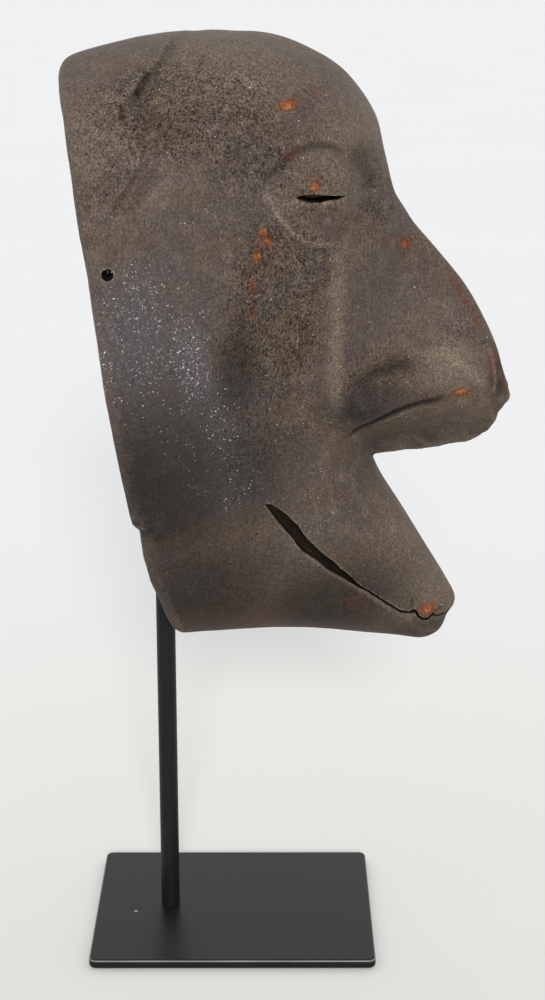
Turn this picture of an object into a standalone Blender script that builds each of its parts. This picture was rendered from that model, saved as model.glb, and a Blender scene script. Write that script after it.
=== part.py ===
"""A carved wooden face mask on its steel display stand.

The mask faces +X, and the XZ plane halves it. The origin is the middle of the base plate's
underside, and lengths are in metres.

The mask is shaped the way a carver sees it: first the profile of the head, with how far
the face falls back behind each part of it, then the forms laid on that: the nose with its
overhanging wings, the eye mounds and the raised band round the brow. The wood is sampled
on a grid, skinned and thinned, and its slits and holes are cut last.
"""

import math

import bmesh
import bpy
import numpy as np
from mathutils import Matrix, Vector

# Sizes of the stand
PLATE_LENGTH = 0.150
PLATE_WIDTH = 0.120
PLATE_THICKNESS = 0.005
PLATE_CORNER_RADIUS = 0.004
PLATE_EDGE_ROUND = 0.0012
ROD_DIAMETER = 0.010
ROD_EDGE_ROUND = 0.0008
ROD_FROM_REAR_EDGE = 0.040
ROD_ABOVE_WIRE = 0.004
WIRE_DIAMETER = 0.003
WIRE_END_INSET = 0.0015
WIRE_CLEAR_OF_WALL = 0.008
TOUCH_GAP = 0.0003

# Sizes of the mask
MASK_HEIGHT = 0.309
CHIN_HEIGHT = 0.164
MASK_HALF_WIDTH = 0.093
JAW_HALF_WIDTH = 0.066
WALL = 0.0095
RIM_ROUND = 0.007
NOSE_HALF_WIDTH = 0.035
RIDGE_HALF_WIDTH = 0.019
NOSE_WALL = 0.017
NOSE_FILL = 0.007
NOSE_UNDERSIDE_FALL = 49
NOSE_UNDERSIDE_ROUND = 0.002
WING_FILL = 0.005
WING_LIP_ROUND = 0.001
BAND_STEP = 0.0022
BAND_EDGE_WIDTH = 0.005
BAND_FADE = 0.090
BAND_GROOVE_AHEAD = 0.003
BAND_GROOVE_WIDTH = 0.0035
EYE_MOUND_HEIGHT = 0.0045
EYE_GROOVE_DEPTH = 0.0024
EYE_SLIT_LENGTH = 0.0245
EYE_SLIT_HEIGHT = 0.0034
MOUTH_SLIT_WIDTH = 0.0066
MOUTH_CRACK_WIDTH = 0.0011
WIRE_PLAY_IN_HOLE = 0.0025

# How finely the mask is sampled and how many triangles are kept
CELL = 0.003
REMESH_CELL = 0.0025
OUTLINE_SPACING = 0.002
SLIT_SPACING = 0.006
KEPT_TRIANGLES = 7400

# Places on the mask are given in its profile drawing: forward from the chin's rear edge and
# up from the chin, as shares of the mask's height.

# The head's profile without its nose, from behind the top rim to behind the chin. The third
# number is how far behind the profile the side of the head is reached, as a share of the
# height, and the fourth how round the section is: 1 is a parabola and 2 an ellipse.
HEAD_OUTLINE = (
    (-0.380, 0.870, 0.31, 2.00),
    (-0.160, 0.953, 0.31, 2.00),
    (-0.060, 0.978, 0.31, 2.00),
    (0.040, 0.995, 0.32, 2.00),
    (0.102, 0.997, 0.33, 2.00),
    (0.160, 0.994, 0.35, 1.95),
    (0.215, 0.977, 0.38, 1.90),
    (0.276, 0.939, 0.42, 1.80),
    (0.323, 0.878, 0.44, 1.60),
    (0.343, 0.816, 0.46, 1.40),
    (0.360, 0.753, 0.48, 1.25),
    (0.376, 0.706, 0.49, 1.15),
    (0.374, 0.600, 0.49, 1.10),
    (0.353, 0.470, 0.48, 1.10),
    (0.326, 0.350, 0.45, 1.20),
    (0.337, 0.300, 0.44, 1.25),
    (0.374, 0.238, 0.43, 1.30),
    (0.417, 0.168, 0.42, 1.35),
    (0.458, 0.100, 0.42, 1.40),
    (0.474, 0.058, 0.41, 1.50),
    (0.457, 0.026, 0.38, 1.70),
    (0.418, 0.011, 0.34, 1.90),
    (0.330, 0.014, 0.30, 2.00),
    (0.200, 0.024, 0.28, 2.00),
    (0.060, 0.018, 0.26, 2.00),
    (-0.050, 0.010, 0.26, 2.00),
    (-0.380, 0.000, 0.26, 2.00),
)

# The nose's profile: down its ridge, round the chipped tip and back underneath, closed
# inside the head.
NOSE_OUTLINE = (
    (0.200, 0.800),
    (0.335, 0.745),
    (0.378, 0.706),
    (0.430, 0.657),
    (0.483, 0.593),
    (0.517, 0.527),
    (0.543, 0.461),
    (0.553, 0.427),
    (0.551, 0.410),
    (0.537, 0.392),
    (0.530, 0.374),
    (0.511, 0.350),
    (0.484, 0.336),
    (0.428, 0.327),
    (0.339, 0.317),
    (0.200, 0.304),
)
NOSE_UNDERSIDE_ROWS = 5
NOSE_REACH = 0.16
NOSE_ROUNDNESS = 1.15

# A nostril wing's lower edge from back to front, then how far out it lies and how thick it
# is, as shares of the nose's half width.
WING = (
    (0.280, 0.386, 0.84, 0.34),
    (0.303, 0.396, 0.83, 0.36),
    (0.330, 0.409, 0.80, 0.36),
    (0.360, 0.423, 0.74, 0.33),
    (0.394, 0.432, 0.66, 0.27),
    (0.430, 0.435, 0.57, 0.20),
    (0.465, 0.439, 0.48, 0.14),
)

# The rear rim from the top down, with the chip above the jaw.
RIM_OUTLINE = (
    (-0.181, 1.050),
    (-0.171, 0.945),
    (-0.150, 0.882),
    (-0.131, 0.803),
    (-0.119, 0.722),
    (-0.110, 0.663),
    (-0.100, 0.575),
    (-0.090, 0.482),
    (-0.076, 0.385),
    (-0.059, 0.285),
    (-0.055, 0.262),
    (-0.044, 0.255),
    (-0.040, 0.205),
    (-0.030, 0.155),
    (-0.018, 0.115),
    (-0.008, 0.070),
    (0.000, 0.030),
    (0.000, -0.060),
)

# The front edge of the raised band, from the crown down to the rim.
BAND_EDGE = (
    (0.060, 1.030),
    (0.037, 1.001),
    (0.005, 0.974),
    (-0.035, 0.924),
    (-0.056, 0.895),
    (-0.052, 0.874),
    (-0.032, 0.835),
    (-0.034, 0.812),
    (-0.054, 0.779),
    (-0.100, 0.728),
    (-0.135, 0.705),
)
BAND_BACK = -0.5

# The mouth's line from its corner to past the lips' tip.
MOUTH_LINE = (
    (0.153, 0.297),
    (0.195, 0.255),
    (0.245, 0.203),
    (0.300, 0.150),
    (0.350, 0.110),
    (0.405, 0.070),
    (0.450, 0.047),
    (0.520, 0.046),
)

EYE_CENTRE = (0.234, 0.766)
EYE_RADII = (0.078, 0.075)
EYE_SLIT_CENTRE = (0.240, 0.766)
CORD_HOLE = (-0.076, 0.669)
CHEEK_LEVEL = 0.66
JAW_LEVEL = 0.05
BRIDGE_LEVEL = 0.72
WING_LEVEL = 0.42

# What follows from the sizes
ROD_X = -PLATE_LENGTH / 2 + ROD_FROM_REAR_EDGE
CHIN_REAR_X = ROD_X + ROD_DIAMETER / 2 + TOUCH_GAP
CORD_HOLE_DIAMETER = WIRE_DIAMETER + WIRE_PLAY_IN_HOLE
CUTTER_REACH = 1.3 * MASK_HALF_WIDTH


# Points and outlines in the profile drawing

def in_place(forward, up):
    """A point of the profile drawing, in metres in the part's frame."""
    return CHIN_REAR_X + forward * MASK_HEIGHT, CHIN_HEIGHT + up * MASK_HEIGHT


def smooth_line(rows, spacing):
    """A Catmull-Rom curve through the rows, with a point about every spacing."""
    points = np.array([(*in_place(row[0], row[1]), *row[2:]) for row in rows])
    ends = np.vstack([2 * points[0] - points[1], points, 2 * points[-1] - points[-2]])
    sampled = []
    for a, b, c, d in zip(ends, ends[1:], ends[2:], ends[3:]):
        count = max(2, round(math.dist(b[:2], c[:2]) / spacing))
        t = np.linspace(0, 1, count, endpoint=False)[:, None]
        sampled.append(
            0.5 * (2 * b + (c - a) * t + (2 * a - 5 * b + 4 * c - d) * t**2
                   + (3 * b - a - 3 * c + d) * t**3)
        )
    return np.vstack([*sampled, points[-1:]])


def distance_to(x, z, line):
    """How far each point is from a line, and how far along it the nearest spot lies."""
    nearest = np.full(x.shape, np.inf)
    along = np.zeros(x.shape)
    for n, (a, b) in enumerate(zip(line[:-1, :2], line[1:, :2])):
        step = b - a
        t = np.clip(((x - a[0]) * step[0] + (z - a[1]) * step[1]) / (step @ step), 0, 1)
        away = np.hypot(x - a[0] - t * step[0], z - a[1] - t * step[1])
        nearer = away < nearest
        nearest = np.where(nearer, away, nearest)
        along = np.where(nearer, (n + t) / (len(line) - 1), along)
    return nearest, along


def is_inside(x, z, line):
    """True where a point lies in the polygon that the line closes."""
    inside = np.zeros(x.shape, bool)
    for (ax, az), (bx, bz) in zip(line[:, :2], np.roll(line[:, :2], -1, axis=0)):
        if az != bz:
            inside ^= ((az > z) != (bz > z)) & (x < (bx - ax) * (z - az) / (bz - az) + ax)
    return inside


def depth_inside(x, z, line):
    """How deep inside an outline a point lies: true near it, and without creases further in.

    The outline's further columns come back too, averaged over it with the same weights.
    """
    middles = (line[1:] + line[:-1]) / 2
    lengths = np.hypot(*(line[1:, :2] - line[:-1, :2]).T)
    weight = np.zeros(x.shape)
    averages = [np.zeros(x.shape) for _ in range(line.shape[1] - 2)]
    for middle, length in zip(middles, lengths):
        squared = (x - middle[0]) ** 2 + (z - middle[1]) ** 2 + (length / 2) ** 2
        pull = length / squared**1.5
        weight += pull
        for average, value in zip(averages, middle[2:]):
            average += pull * value
    true, _ = distance_to(x, z, line)
    deeper = smooth_step((true / OUTLINE_SPACING - 2) / 6)
    depth = true * (1 - deeper) + np.sqrt(2 / weight) * deeper
    averages = [average / weight for average in averages]
    return np.where(is_inside(x, z, line), depth, -true), averages


def smooth_step(t):
    t = np.clip(t, 0, 1)
    return t * t * (3 - 2 * t)


def level_share(z, low, high):
    """Rises smoothly from 0 to 1 between two levels of the profile drawing."""
    low_z = in_place(0, low)[1]
    high_z = in_place(0, high)[1]
    return smooth_step((z - low_z) / (high_z - low_z))


# Forms of the mask, each a distance that is negative in the wood

def head_section(x, z):
    """The head's half width, squared, at each point of the profile."""
    depth, (reach, roundness) = depth_inside(x, z, smooth_line(HEAD_OUTLINE, OUTLINE_SPACING))
    t = np.minimum(depth / (reach * MASK_HEIGHT), 1)
    widening = level_share(z, JAW_LEVEL, CHEEK_LEVEL)
    half_width = JAW_HALF_WIDTH + (MASK_HALF_WIDTH - JAW_HALF_WIDTH) * widening
    return half_width**2 * (1 - (1 - t) ** roundness)


def nose_section(x, z):
    """The nose's half width, squared, at each point of the profile."""
    depth, _ = depth_inside(x, z, smooth_line(NOSE_OUTLINE, OUTLINE_SPACING))
    t = np.minimum(depth / (NOSE_REACH * MASK_HEIGHT), 1)
    narrowing = level_share(z, WING_LEVEL, BRIDGE_LEVEL)
    half_width = NOSE_HALF_WIDTH + (RIDGE_HALF_WIDTH - NOSE_HALF_WIDTH) * narrowing
    return half_width**2 * (1 - (1 - t) ** NOSE_ROUNDNESS)


def from_section(section, y, spacing):
    """About how far a point is from the surface whose squared half width is given."""
    along_x, along_z = np.gradient(section, spacing)
    slope = np.sqrt(4 * y**2 + (along_x**2 + along_z**2)[:, None, :] + 1e-8)
    return (y**2 - section[:, None, :]) / slope


def roll(x, y, z, rows):
    """A rounded roll that follows rows of x, y, z and radius."""
    nearest = np.inf
    for start, end in zip(rows, rows[1:]):
        step = end - start
        t = (x - start[0]) * step[0] + (y - start[1]) * step[1] + (z - start[2]) * step[2]
        t = np.clip(t / (step[:3] @ step[:3]), 0, 1)
        away = np.sqrt(
            (x - start[0] - t * step[0]) ** 2
            + (y - start[1] - t * step[1]) ** 2
            + (z - start[2] - t * step[2]) ** 2
        )
        nearest = np.minimum(nearest, away - start[3] - t * step[3])
    return nearest


def soft_union(a, b, radius):
    """Two forms as one, filled in where they meet."""
    h = np.clip(0.5 + 0.5 * (b - a) / radius, 0, 1)
    return b + (a - b) * h - radius * h * (1 - h)


def soft_cut(a, b, radius):
    """What lies in both forms, with a rounded edge where they meet."""
    return -soft_union(-a, -b, radius)


def rim_cut(x, z):
    """The wood lies in front of the rim."""
    line = np.array([in_place(*row) for row in RIM_OUTLINE])[::-1]
    return np.interp(z, line[:, 1], line[:, 0]) - x


def wing_form(x, y, z):
    """The nostril wing: a roll that stands on its lower edge."""
    rows = []
    for forward, up, out, thick in WING:
        edge_x, edge_z = in_place(forward, up)
        radius = thick * NOSE_HALF_WIDTH
        rows.append((edge_x, out * NOSE_HALF_WIDTH, edge_z + radius, radius))
    return roll(x, y, z, np.array(rows))


def underside_cut(x, y, z):
    """The nose's underside, which falls towards the middle, so that it shows from the side."""
    rows = np.array([in_place(*row) for row in NOSE_OUTLINE[-NOSE_UNDERSIDE_ROWS:]])[::-1]
    fall = math.radians(NOSE_UNDERSIDE_FALL)
    above_middle = z - np.interp(x, rows[:, 0], rows[:, 1])
    return y * math.sin(fall) - above_middle * math.cos(fall)


def eye_relief(x, z):
    """The height of the lidded mound, less the groove that sets it off from the brow."""
    eye_x, eye_z = in_place(*EYE_CENTRE)
    u = (x - eye_x) / (EYE_RADII[0] * MASK_HEIGHT)
    v = (z - eye_z) / (EYE_RADII[1] * MASK_HEIGHT)
    r = (np.abs(u) ** 1.7 + np.abs(v) ** 1.7) ** (1 / 1.7)
    mound = EYE_MOUND_HEIGHT * np.clip(1 - r**2, 0, 1) ** 0.6
    above = smooth_step((v + 0.5 * u + 0.4) / 0.8)
    return mound - EYE_GROOVE_DEPTH * above * np.exp(-(((r - 1.06) / 0.12) ** 2))


def band_relief(x, z):
    """The height of the raised band, with a groove before its edge, fading downwards."""
    edge = smooth_line(BAND_EDGE, 2 * OUTLINE_SPACING)
    away, along = distance_to(x, z, edge)
    back = [in_place(BAND_BACK, BAND_EDGE[-1][1]), in_place(BAND_BACK, BAND_EDGE[0][1])]
    behind = np.where(is_inside(x, z, np.vstack([edge, back])), away, -away)
    fade = 1 - 0.8 * smooth_step((along - 0.35) / 0.5)
    step = smooth_step(behind / BAND_EDGE_WIDTH + 0.5) * np.exp(-np.maximum(behind, 0) / BAND_FADE)
    groove = 0.5 * np.exp(-(((behind + BAND_GROOVE_AHEAD) / BAND_GROOVE_WIDTH) ** 2))
    return BAND_STEP * (step - groove) * fade


def mask_form(x, y, z):
    """The whole mask on the grid that the three lines of coordinates span."""
    plan_x, plan_z = np.meshgrid(x, z, indexing="ij")
    spacing = x[1] - x[0]
    x3, z3 = x[:, None, None], z[None, None, :]
    side = np.abs(y)[None, :, None]

    head = from_section(head_section(plan_x, plan_z), side, spacing)
    nose = from_section(nose_section(plan_x, plan_z), side, spacing)
    hollow = np.minimum(head + WALL, soft_cut(nose + NOSE_WALL, head - NOSE_WALL, WALL))

    wing = wing_form(x3, side, z3)
    underside = underside_cut(x3, side, z3)
    nose = soft_cut(soft_union(nose, wing, WING_FILL), underside, NOSE_UNDERSIDE_ROUND)
    nose = soft_union(nose, wing, WING_LIP_ROUND)
    relief = eye_relief(plan_x, plan_z) + band_relief(plan_x, plan_z)
    outside = soft_union(head, nose, NOSE_FILL) - relief[:, None, :]
    outside = soft_cut(outside, rim_cut(x3, z3), RIM_ROUND)
    return soft_cut(outside, -hollow, RIM_ROUND / 2)


def sampling_grid():
    """Lines of x, y and z with room round the mask, none of them in the plane of symmetry."""
    room = 4 * CELL
    levels = [row[1] for row in HEAD_OUTLINE]
    low_x, low_z = in_place(min(row[0] for row in RIM_OUTLINE), min(levels))
    high_x, high_z = in_place(max(row[0] for row in NOSE_OUTLINE), max(levels))
    x = np.arange(low_x - room, high_x + room, CELL)
    z = np.arange(low_z - room, high_z + room, CELL)
    half_width = max(MASK_HALF_WIDTH, JAW_HALF_WIDTH, NOSE_HALF_WIDTH) + BAND_STEP
    half = np.arange(CELL / 2, half_width + room, CELL)
    return x, np.concatenate([-half[::-1], half]), z


def skin(form, corner, cell):
    """Points and quads of a closed skin round the negative part of a sampled form.

    Each cell that the surface crosses gets one point, and each grid edge that it crosses
    gets a quad between the four cells round it.
    """
    cells = tuple(n - 1 for n in form.shape)
    total = np.zeros((*cells, 3))
    count = np.zeros(cells)
    crossed = []
    for axis in range(3):
        low = np.take(form, range(form.shape[axis] - 1), axis)
        high = np.take(form, range(1, form.shape[axis]), axis)
        at = np.argwhere((low < 0) != (high < 0))
        from_low, from_high = low[tuple(at.T)], high[tuple(at.T)]
        crossing = at.astype(float)
        crossing[:, axis] += from_low / (from_low - from_high)
        ring = []
        for back_first, back_second in ((1, 1), (0, 1), (0, 0), (1, 0)):
            cell_at = at.copy()
            cell_at[:, (axis + 1) % 3] -= back_first
            cell_at[:, (axis + 2) % 3] -= back_second
            ring.append(tuple(cell_at.T))
            np.add.at(total, ring[-1], crossing)
            np.add.at(count, ring[-1], 1)
        crossed.append((ring, from_low < 0))
    used = count > 0
    number = np.cumsum(used).reshape(cells) - 1
    points = total[used] / count[used][:, None] * cell + corner
    quads = []
    for ring, outward in crossed:
        quad = np.stack([number[cell_at] for cell_at in ring], axis=1)
        quads.append(np.where(outward[:, None], quad, quad[:, ::-1]))
    return points, np.vstack(quads)


# Objects, materials and cutters

def new_object(name, mesh, collection):
    obj = bpy.data.objects.new(name, mesh)
    collection.objects.link(obj)
    return obj


def object_from_bmesh(name, work, collection):
    mesh = bpy.data.meshes.new(name)
    work.to_mesh(mesh)
    work.free()
    return new_object(name, mesh, collection)


def settle_modifiers(obj):
    """Replace an object's mesh with what its modifiers make of it."""
    bpy.context.view_layer.update()
    graph = bpy.context.evaluated_depsgraph_get()
    mesh = bpy.data.meshes.new_from_object(obj.evaluated_get(graph))
    obj.modifiers.clear()
    obj.data = mesh


def finish(obj, name, colour, roughness, metallic=0.0, crease=40):
    """Give an object its own material, and shade it smooth but for its real edges."""
    made = bpy.data.materials.new(name)
    made.use_nodes = True
    shader = made.node_tree.nodes["Principled BSDF"]
    shader.inputs["Base Color"].default_value = (*colour, 1)
    shader.inputs["Roughness"].default_value = roughness
    shader.inputs["Metallic"].default_value = metallic
    obj.data.materials.append(made)
    if obj.type == "MESH":
        obj.data.shade_smooth()
        obj.data.set_sharp_from_angle(angle=math.radians(crease))


def cylinder(name, diameter, start, end, collection, segments=32):
    start, end = Vector(start), Vector(end)
    turn = (end - start).to_track_quat("Z", "Y").to_matrix().to_4x4()
    work = bmesh.new()
    bmesh.ops.create_cone(
        work, cap_ends=True, segments=segments, radius1=diameter / 2, radius2=diameter / 2,
        depth=(end - start).length, matrix=Matrix.Translation((start + end) / 2) @ turn,
    )
    return object_from_bmesh(name, work, collection)


def slit(name, line, widths, collection):
    """A cutter that follows a line of the profile, as wide as the slit is at each point, and
    runs through the mask from side to side."""
    line = np.array(line)[:, :2]
    along = np.gradient(line, axis=0)
    along /= np.linalg.norm(along, axis=1)[:, None]
    across = np.stack([-along[:, 1], along[:, 0]], axis=1) * np.array(widths)[:, None] / 2
    outline = np.vstack([line + across, (line - across)[::-1]])
    work = bmesh.new()
    face = work.faces.new([work.verts.new((x, -CUTTER_REACH, z)) for x, z in outline])
    pushed = bmesh.ops.extrude_face_region(work, geom=[face])["geom"]
    moved = [item for item in pushed if isinstance(item, bmesh.types.BMVert)]
    bmesh.ops.translate(work, verts=moved, vec=(0, 2 * CUTTER_REACH, 0))
    bmesh.ops.recalc_face_normals(work, faces=work.faces)
    return object_from_bmesh(name, work, collection)


def cut(obj, cutter):
    cutter.hide_render = True
    cutter.display_type = "WIRE"
    modifier = obj.modifiers.new("cut " + cutter.name, "BOOLEAN")
    modifier.operation = "DIFFERENCE"
    modifier.solver = "EXACT"
    modifier.object = cutter


# Pieces

def build_mask(parts, cutters):
    x, y, z = sampling_grid()
    points, quads = skin(mask_form(x, y, z), np.array([x[0], y[0], z[0]]), CELL)
    mesh = bpy.data.meshes.new("mask")
    mesh.from_pydata(points.tolist(), [], quads.tolist())
    mask = new_object("mask", mesh, parts)
    even = mask.modifiers.new("even cells", "REMESH")
    even.mode = "VOXEL"
    even.voxel_size = REMESH_CELL
    settle_modifiers(mask)
    thin = mask.modifiers.new("thin", "DECIMATE")
    thin.ratio = min(1, KEPT_TRIANGLES / (2 * len(mask.data.polygons)))
    settle_modifiers(mask)

    eye_x, eye_z = in_place(*EYE_SLIT_CENTRE)
    share = np.linspace(-1, 1, 13)
    line = [(eye_x + s * EYE_SLIT_LENGTH / 2, eye_z) for s in share]
    widths = [EYE_SLIT_HEIGHT * max(0.1, 1 - s * s) ** 0.6 for s in share]
    cut(mask, slit("eye slits", line, widths, cutters))

    line = smooth_line(MOUTH_LINE, SLIT_SPACING)
    share = np.linspace(0, 1, len(line))
    opening = smooth_step(share / 0.16) * smooth_step((0.78 - share) / 0.62)
    widths = MOUTH_CRACK_WIDTH + (MOUTH_SLIT_WIDTH - MOUTH_CRACK_WIDTH) * opening
    cut(mask, slit("mouth slit", line, widths, cutters))

    hole_x, hole_z = in_place(*CORD_HOLE)
    left, right = (hole_x, -CUTTER_REACH, hole_z), (hole_x, CUTTER_REACH, hole_z)
    cut(mask, cylinder("cord holes", CORD_HOLE_DIAMETER, left, right, cutters, segments=20))
    clear_of_rod = ROD_DIAMETER + 2 * TOUCH_GAP
    below, above = (ROD_X, 0, 0), (ROD_X, 0, hole_z)
    cut(mask, cylinder("room for the rod", clear_of_rod, below, above, cutters))
    finish(mask, "dark patinated wood", (0.098, 0.076, 0.060), 0.6, crease=35)


def round_edges(obj, width, segments=2):
    modifier = obj.modifiers.new("rounded edges", "BEVEL")
    modifier.width = width
    modifier.segments = segments
    modifier.limit_method = "ANGLE"


def build_plate(parts):
    work = bmesh.new()
    bmesh.ops.create_cube(work, size=1)
    bmesh.ops.scale(work, vec=(PLATE_LENGTH, PLATE_WIDTH, PLATE_THICKNESS), verts=work.verts)
    bmesh.ops.translate(work, vec=(0, 0, PLATE_THICKNESS / 2), verts=work.verts)
    upright = [e for e in work.edges if (e.verts[0].co - e.verts[1].co).xy.length < TOUCH_GAP]
    bmesh.ops.bevel(
        work, geom=upright, offset=PLATE_CORNER_RADIUS, segments=5, affect="EDGES", profile=0.5
    )
    plate = object_from_bmesh("base_plate", work, parts)
    round_edges(plate, PLATE_EDGE_ROUND)
    finish(plate, "black painted steel plate", (0.018, 0.018, 0.019), 0.38, 0.4)


def build_rod(parts, top):
    foot = (ROD_X, 0, PLATE_THICKNESS + TOUCH_GAP)
    rod = cylinder("stand_rod", ROD_DIAMETER, foot, (ROD_X, 0, top), parts, segments=28)
    round_edges(rod, ROD_EDGE_ROUND)
    finish(rod, "black painted steel rod", (0.018, 0.018, 0.019), 0.34, 0.4)


def build_wire(parts, height):
    """The cross wire: it lies behind the rod, and its ends carry the mask by its cord holes."""
    hole_x, _ = in_place(*CORD_HOLE)
    behind_rod = ROD_X - (ROD_DIAMETER + WIRE_DIAMETER) / 2 - TOUCH_GAP
    outer = half_width_at(*CORD_HOLE)
    straight_from = outer - WALL - WIRE_CLEAR_OF_WALL
    bent = np.linspace(-straight_from, straight_from, 21)
    side = [WIRE_END_INSET - outer, *bent, outer - WIRE_END_INSET]

    curve = bpy.data.curves.new("hanging_wire", "CURVE")
    curve.dimensions = "3D"
    curve.bevel_depth = WIRE_DIAMETER / 2
    curve.bevel_resolution = 3
    curve.use_fill_caps = True
    spline = curve.splines.new("POLY")
    spline.points.add(len(side) - 1)
    for point, y in zip(spline.points, side):
        forward = smooth_step(abs(y) / straight_from)
        point.co = (behind_rod + (hole_x - behind_rod) * forward, y, height, 1)
    wire = new_object("hanging_wire", curve, parts)
    finish(wire, "bare steel wire", (0.45, 0.44, 0.43), 0.3, 1.0)


def half_width_at(forward, up):
    """The head's half width at one place of the profile drawing."""
    x, z = in_place(forward, up)
    return math.sqrt(head_section(np.array([x]), np.array([z]))[0])


def main():
    for obj in list(bpy.data.objects):
        bpy.data.objects.remove(obj)
    parts = bpy.data.collections.new("hemba mask on its stand")
    cutters = bpy.data.collections.new("cutters")
    bpy.context.scene.collection.children.link(parts)
    bpy.context.scene.collection.children.link(cutters)

    hole_top = in_place(*CORD_HOLE)[1] + CORD_HOLE_DIAMETER / 2
    wire_height = hole_top - TOUCH_GAP - WIRE_DIAMETER / 2
    build_plate(parts)
    build_rod(parts, wire_height + ROD_ABOVE_WIRE)
    build_wire(parts, wire_height)
    build_mask(parts, cutters)


main()
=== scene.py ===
"""A carved wooden face mask on its steel display stand, dressed for a picture.

The mask faces +X, the XZ plane halves it, and the camera sees its right side, at -Y. Lengths
are in metres. Places on the mask are given in its profile drawing, as in the solid model:
forward from the chin's rear edge and up from the chin, as shares of the mask's height.
"""

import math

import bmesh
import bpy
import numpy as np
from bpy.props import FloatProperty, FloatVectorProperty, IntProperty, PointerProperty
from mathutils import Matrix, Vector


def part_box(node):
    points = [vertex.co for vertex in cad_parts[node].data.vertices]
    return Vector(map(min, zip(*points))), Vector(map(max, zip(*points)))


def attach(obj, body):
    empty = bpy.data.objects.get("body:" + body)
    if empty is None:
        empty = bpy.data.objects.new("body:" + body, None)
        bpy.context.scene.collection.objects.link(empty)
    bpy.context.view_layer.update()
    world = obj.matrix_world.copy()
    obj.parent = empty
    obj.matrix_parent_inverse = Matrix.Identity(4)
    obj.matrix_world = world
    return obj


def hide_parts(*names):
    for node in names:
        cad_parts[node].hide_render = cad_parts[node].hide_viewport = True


bl_info = {
    "name": "Carved mask on a display stand",
    "version": (1, 0, 0),
    "blender": (4, 5, 0),
    "location": "View3D > Sidebar > Mask",
    "description": "Carves the mask, paints its stand and sets the stage around them",
    "category": "Add Mesh",
}

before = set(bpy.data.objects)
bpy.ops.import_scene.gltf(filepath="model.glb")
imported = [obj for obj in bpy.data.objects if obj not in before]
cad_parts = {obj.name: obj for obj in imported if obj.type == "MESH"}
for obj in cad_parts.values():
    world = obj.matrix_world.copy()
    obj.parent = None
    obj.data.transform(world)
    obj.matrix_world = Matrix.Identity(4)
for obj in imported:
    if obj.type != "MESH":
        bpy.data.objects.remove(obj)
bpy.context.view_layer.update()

# Sizes shared with the solid model
PLATE_LOW, PLATE_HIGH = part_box("base_plate")
ROD_LOW, ROD_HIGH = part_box("stand_rod")
WIRE_LOW, WIRE_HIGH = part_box("hanging_wire")
TOUCH_GAP = 0.0003
PLATE_CORNER_RADIUS = 0.004
ROD_TIP_ROUND = 0.0008
WIRE_DIAMETER = 0.003
WIRE_PLAY_IN_HOLE = 0.0025
WIRE_CLEAR_OF_WALL = 0.008
WIRE_DOME_ROOM = 0.004
MASK_HEIGHT = 0.309
CHIN_HEIGHT = 0.164
CHIN_REAR_X = ROD_HIGH.x + TOUCH_GAP
MASK_HALF_WIDTH = 0.093
JAW_HALF_WIDTH = 0.066
WALL = 0.0095
RIM_ROUND = 0.007
NOSE_HALF_WIDTH = 0.035
RIDGE_HALF_WIDTH = 0.019
NOSE_WALL = 0.017
NOSE_FILL = 0.007
NOSE_UNDERSIDE_FILL = 0.0015
NOSE_UNDERSIDE_FALL = math.radians(49)
NOSE_UNDERSIDE_ROUND = 0.0012
WING_FILL = 0.004
WING_LIP_ROUND = 0.0006
BAND_STEP = 0.0022
BAND_EDGE_WIDTH = 0.0048
BAND_FADE = 0.090
BAND_GROOVE_AHEAD = 0.0034
BAND_GROOVE_WIDTH = 0.0040
BAND_AT_CROWN = 0.3
BAND_AT_FOOT = 0.2
EYE_MOUND_HEIGHT = 0.0045
EYE_SQUARENESS = 1.7
EYE_FLATNESS = 0.6
OUTLINE_SPACING = 0.002
WALL_SLICES = 110
CUTTER_REACH = 1.3 * MASK_HALF_WIDTH
SHARP_ANGLE = math.radians(60)
ROUND_SEGMENTS = 64
PLATE_CORNER_SEGMENTS = 10
KEY_LIGHT_AWAY = 1.5

# How far below the uncut surface a point counts as lying on a cut wall or in the hollow
CUT_EDGE = 0.0007

# The camera sees the mask's right side, at -Y
NEAR_SIDE = -1

# The head's profile without its nose, from behind the top rim to behind the chin. The third
# number is how far behind the profile the side of the head is reached, as a share of the
# height, and the fourth how round the section is: 1 is a parabola and 2 an ellipse.
HEAD_OUTLINE = (
    (-0.380, 0.870, 0.31, 2.00),
    (-0.160, 0.953, 0.31, 2.00),
    (-0.060, 0.980, 0.31, 2.00),
    (0.040, 0.999, 0.32, 2.00),
    (0.102, 0.999, 0.33, 2.00),
    (0.160, 0.995, 0.35, 1.95),
    (0.215, 0.977, 0.38, 1.90),
    (0.276, 0.939, 0.42, 1.80),
    (0.323, 0.878, 0.44, 1.60),
    (0.341, 0.816, 0.46, 1.40),
    (0.357, 0.753, 0.48, 1.25),
    (0.373, 0.706, 0.49, 1.15),
    (0.374, 0.600, 0.49, 1.10),
    (0.353, 0.470, 0.48, 1.10),
    (0.326, 0.350, 0.45, 1.20),
    (0.337, 0.300, 0.44, 1.25),
    (0.374, 0.238, 0.43, 1.30),
    (0.417, 0.168, 0.42, 1.35),
    (0.458, 0.100, 0.42, 1.40),
    (0.473, 0.067, 0.41, 1.50),
    (0.461, 0.044, 0.40, 1.60),
    (0.449, 0.017, 0.38, 1.75),
    (0.419, 0.003, 0.34, 1.90),
    (0.380, 0.007, 0.32, 1.95),
    (0.330, 0.013, 0.30, 2.00),
    (0.200, 0.024, 0.28, 2.00),
    (0.060, 0.018, 0.26, 2.00),
    (-0.050, 0.010, 0.26, 2.00),
    (-0.380, 0.000, 0.26, 2.00),
)

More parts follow.
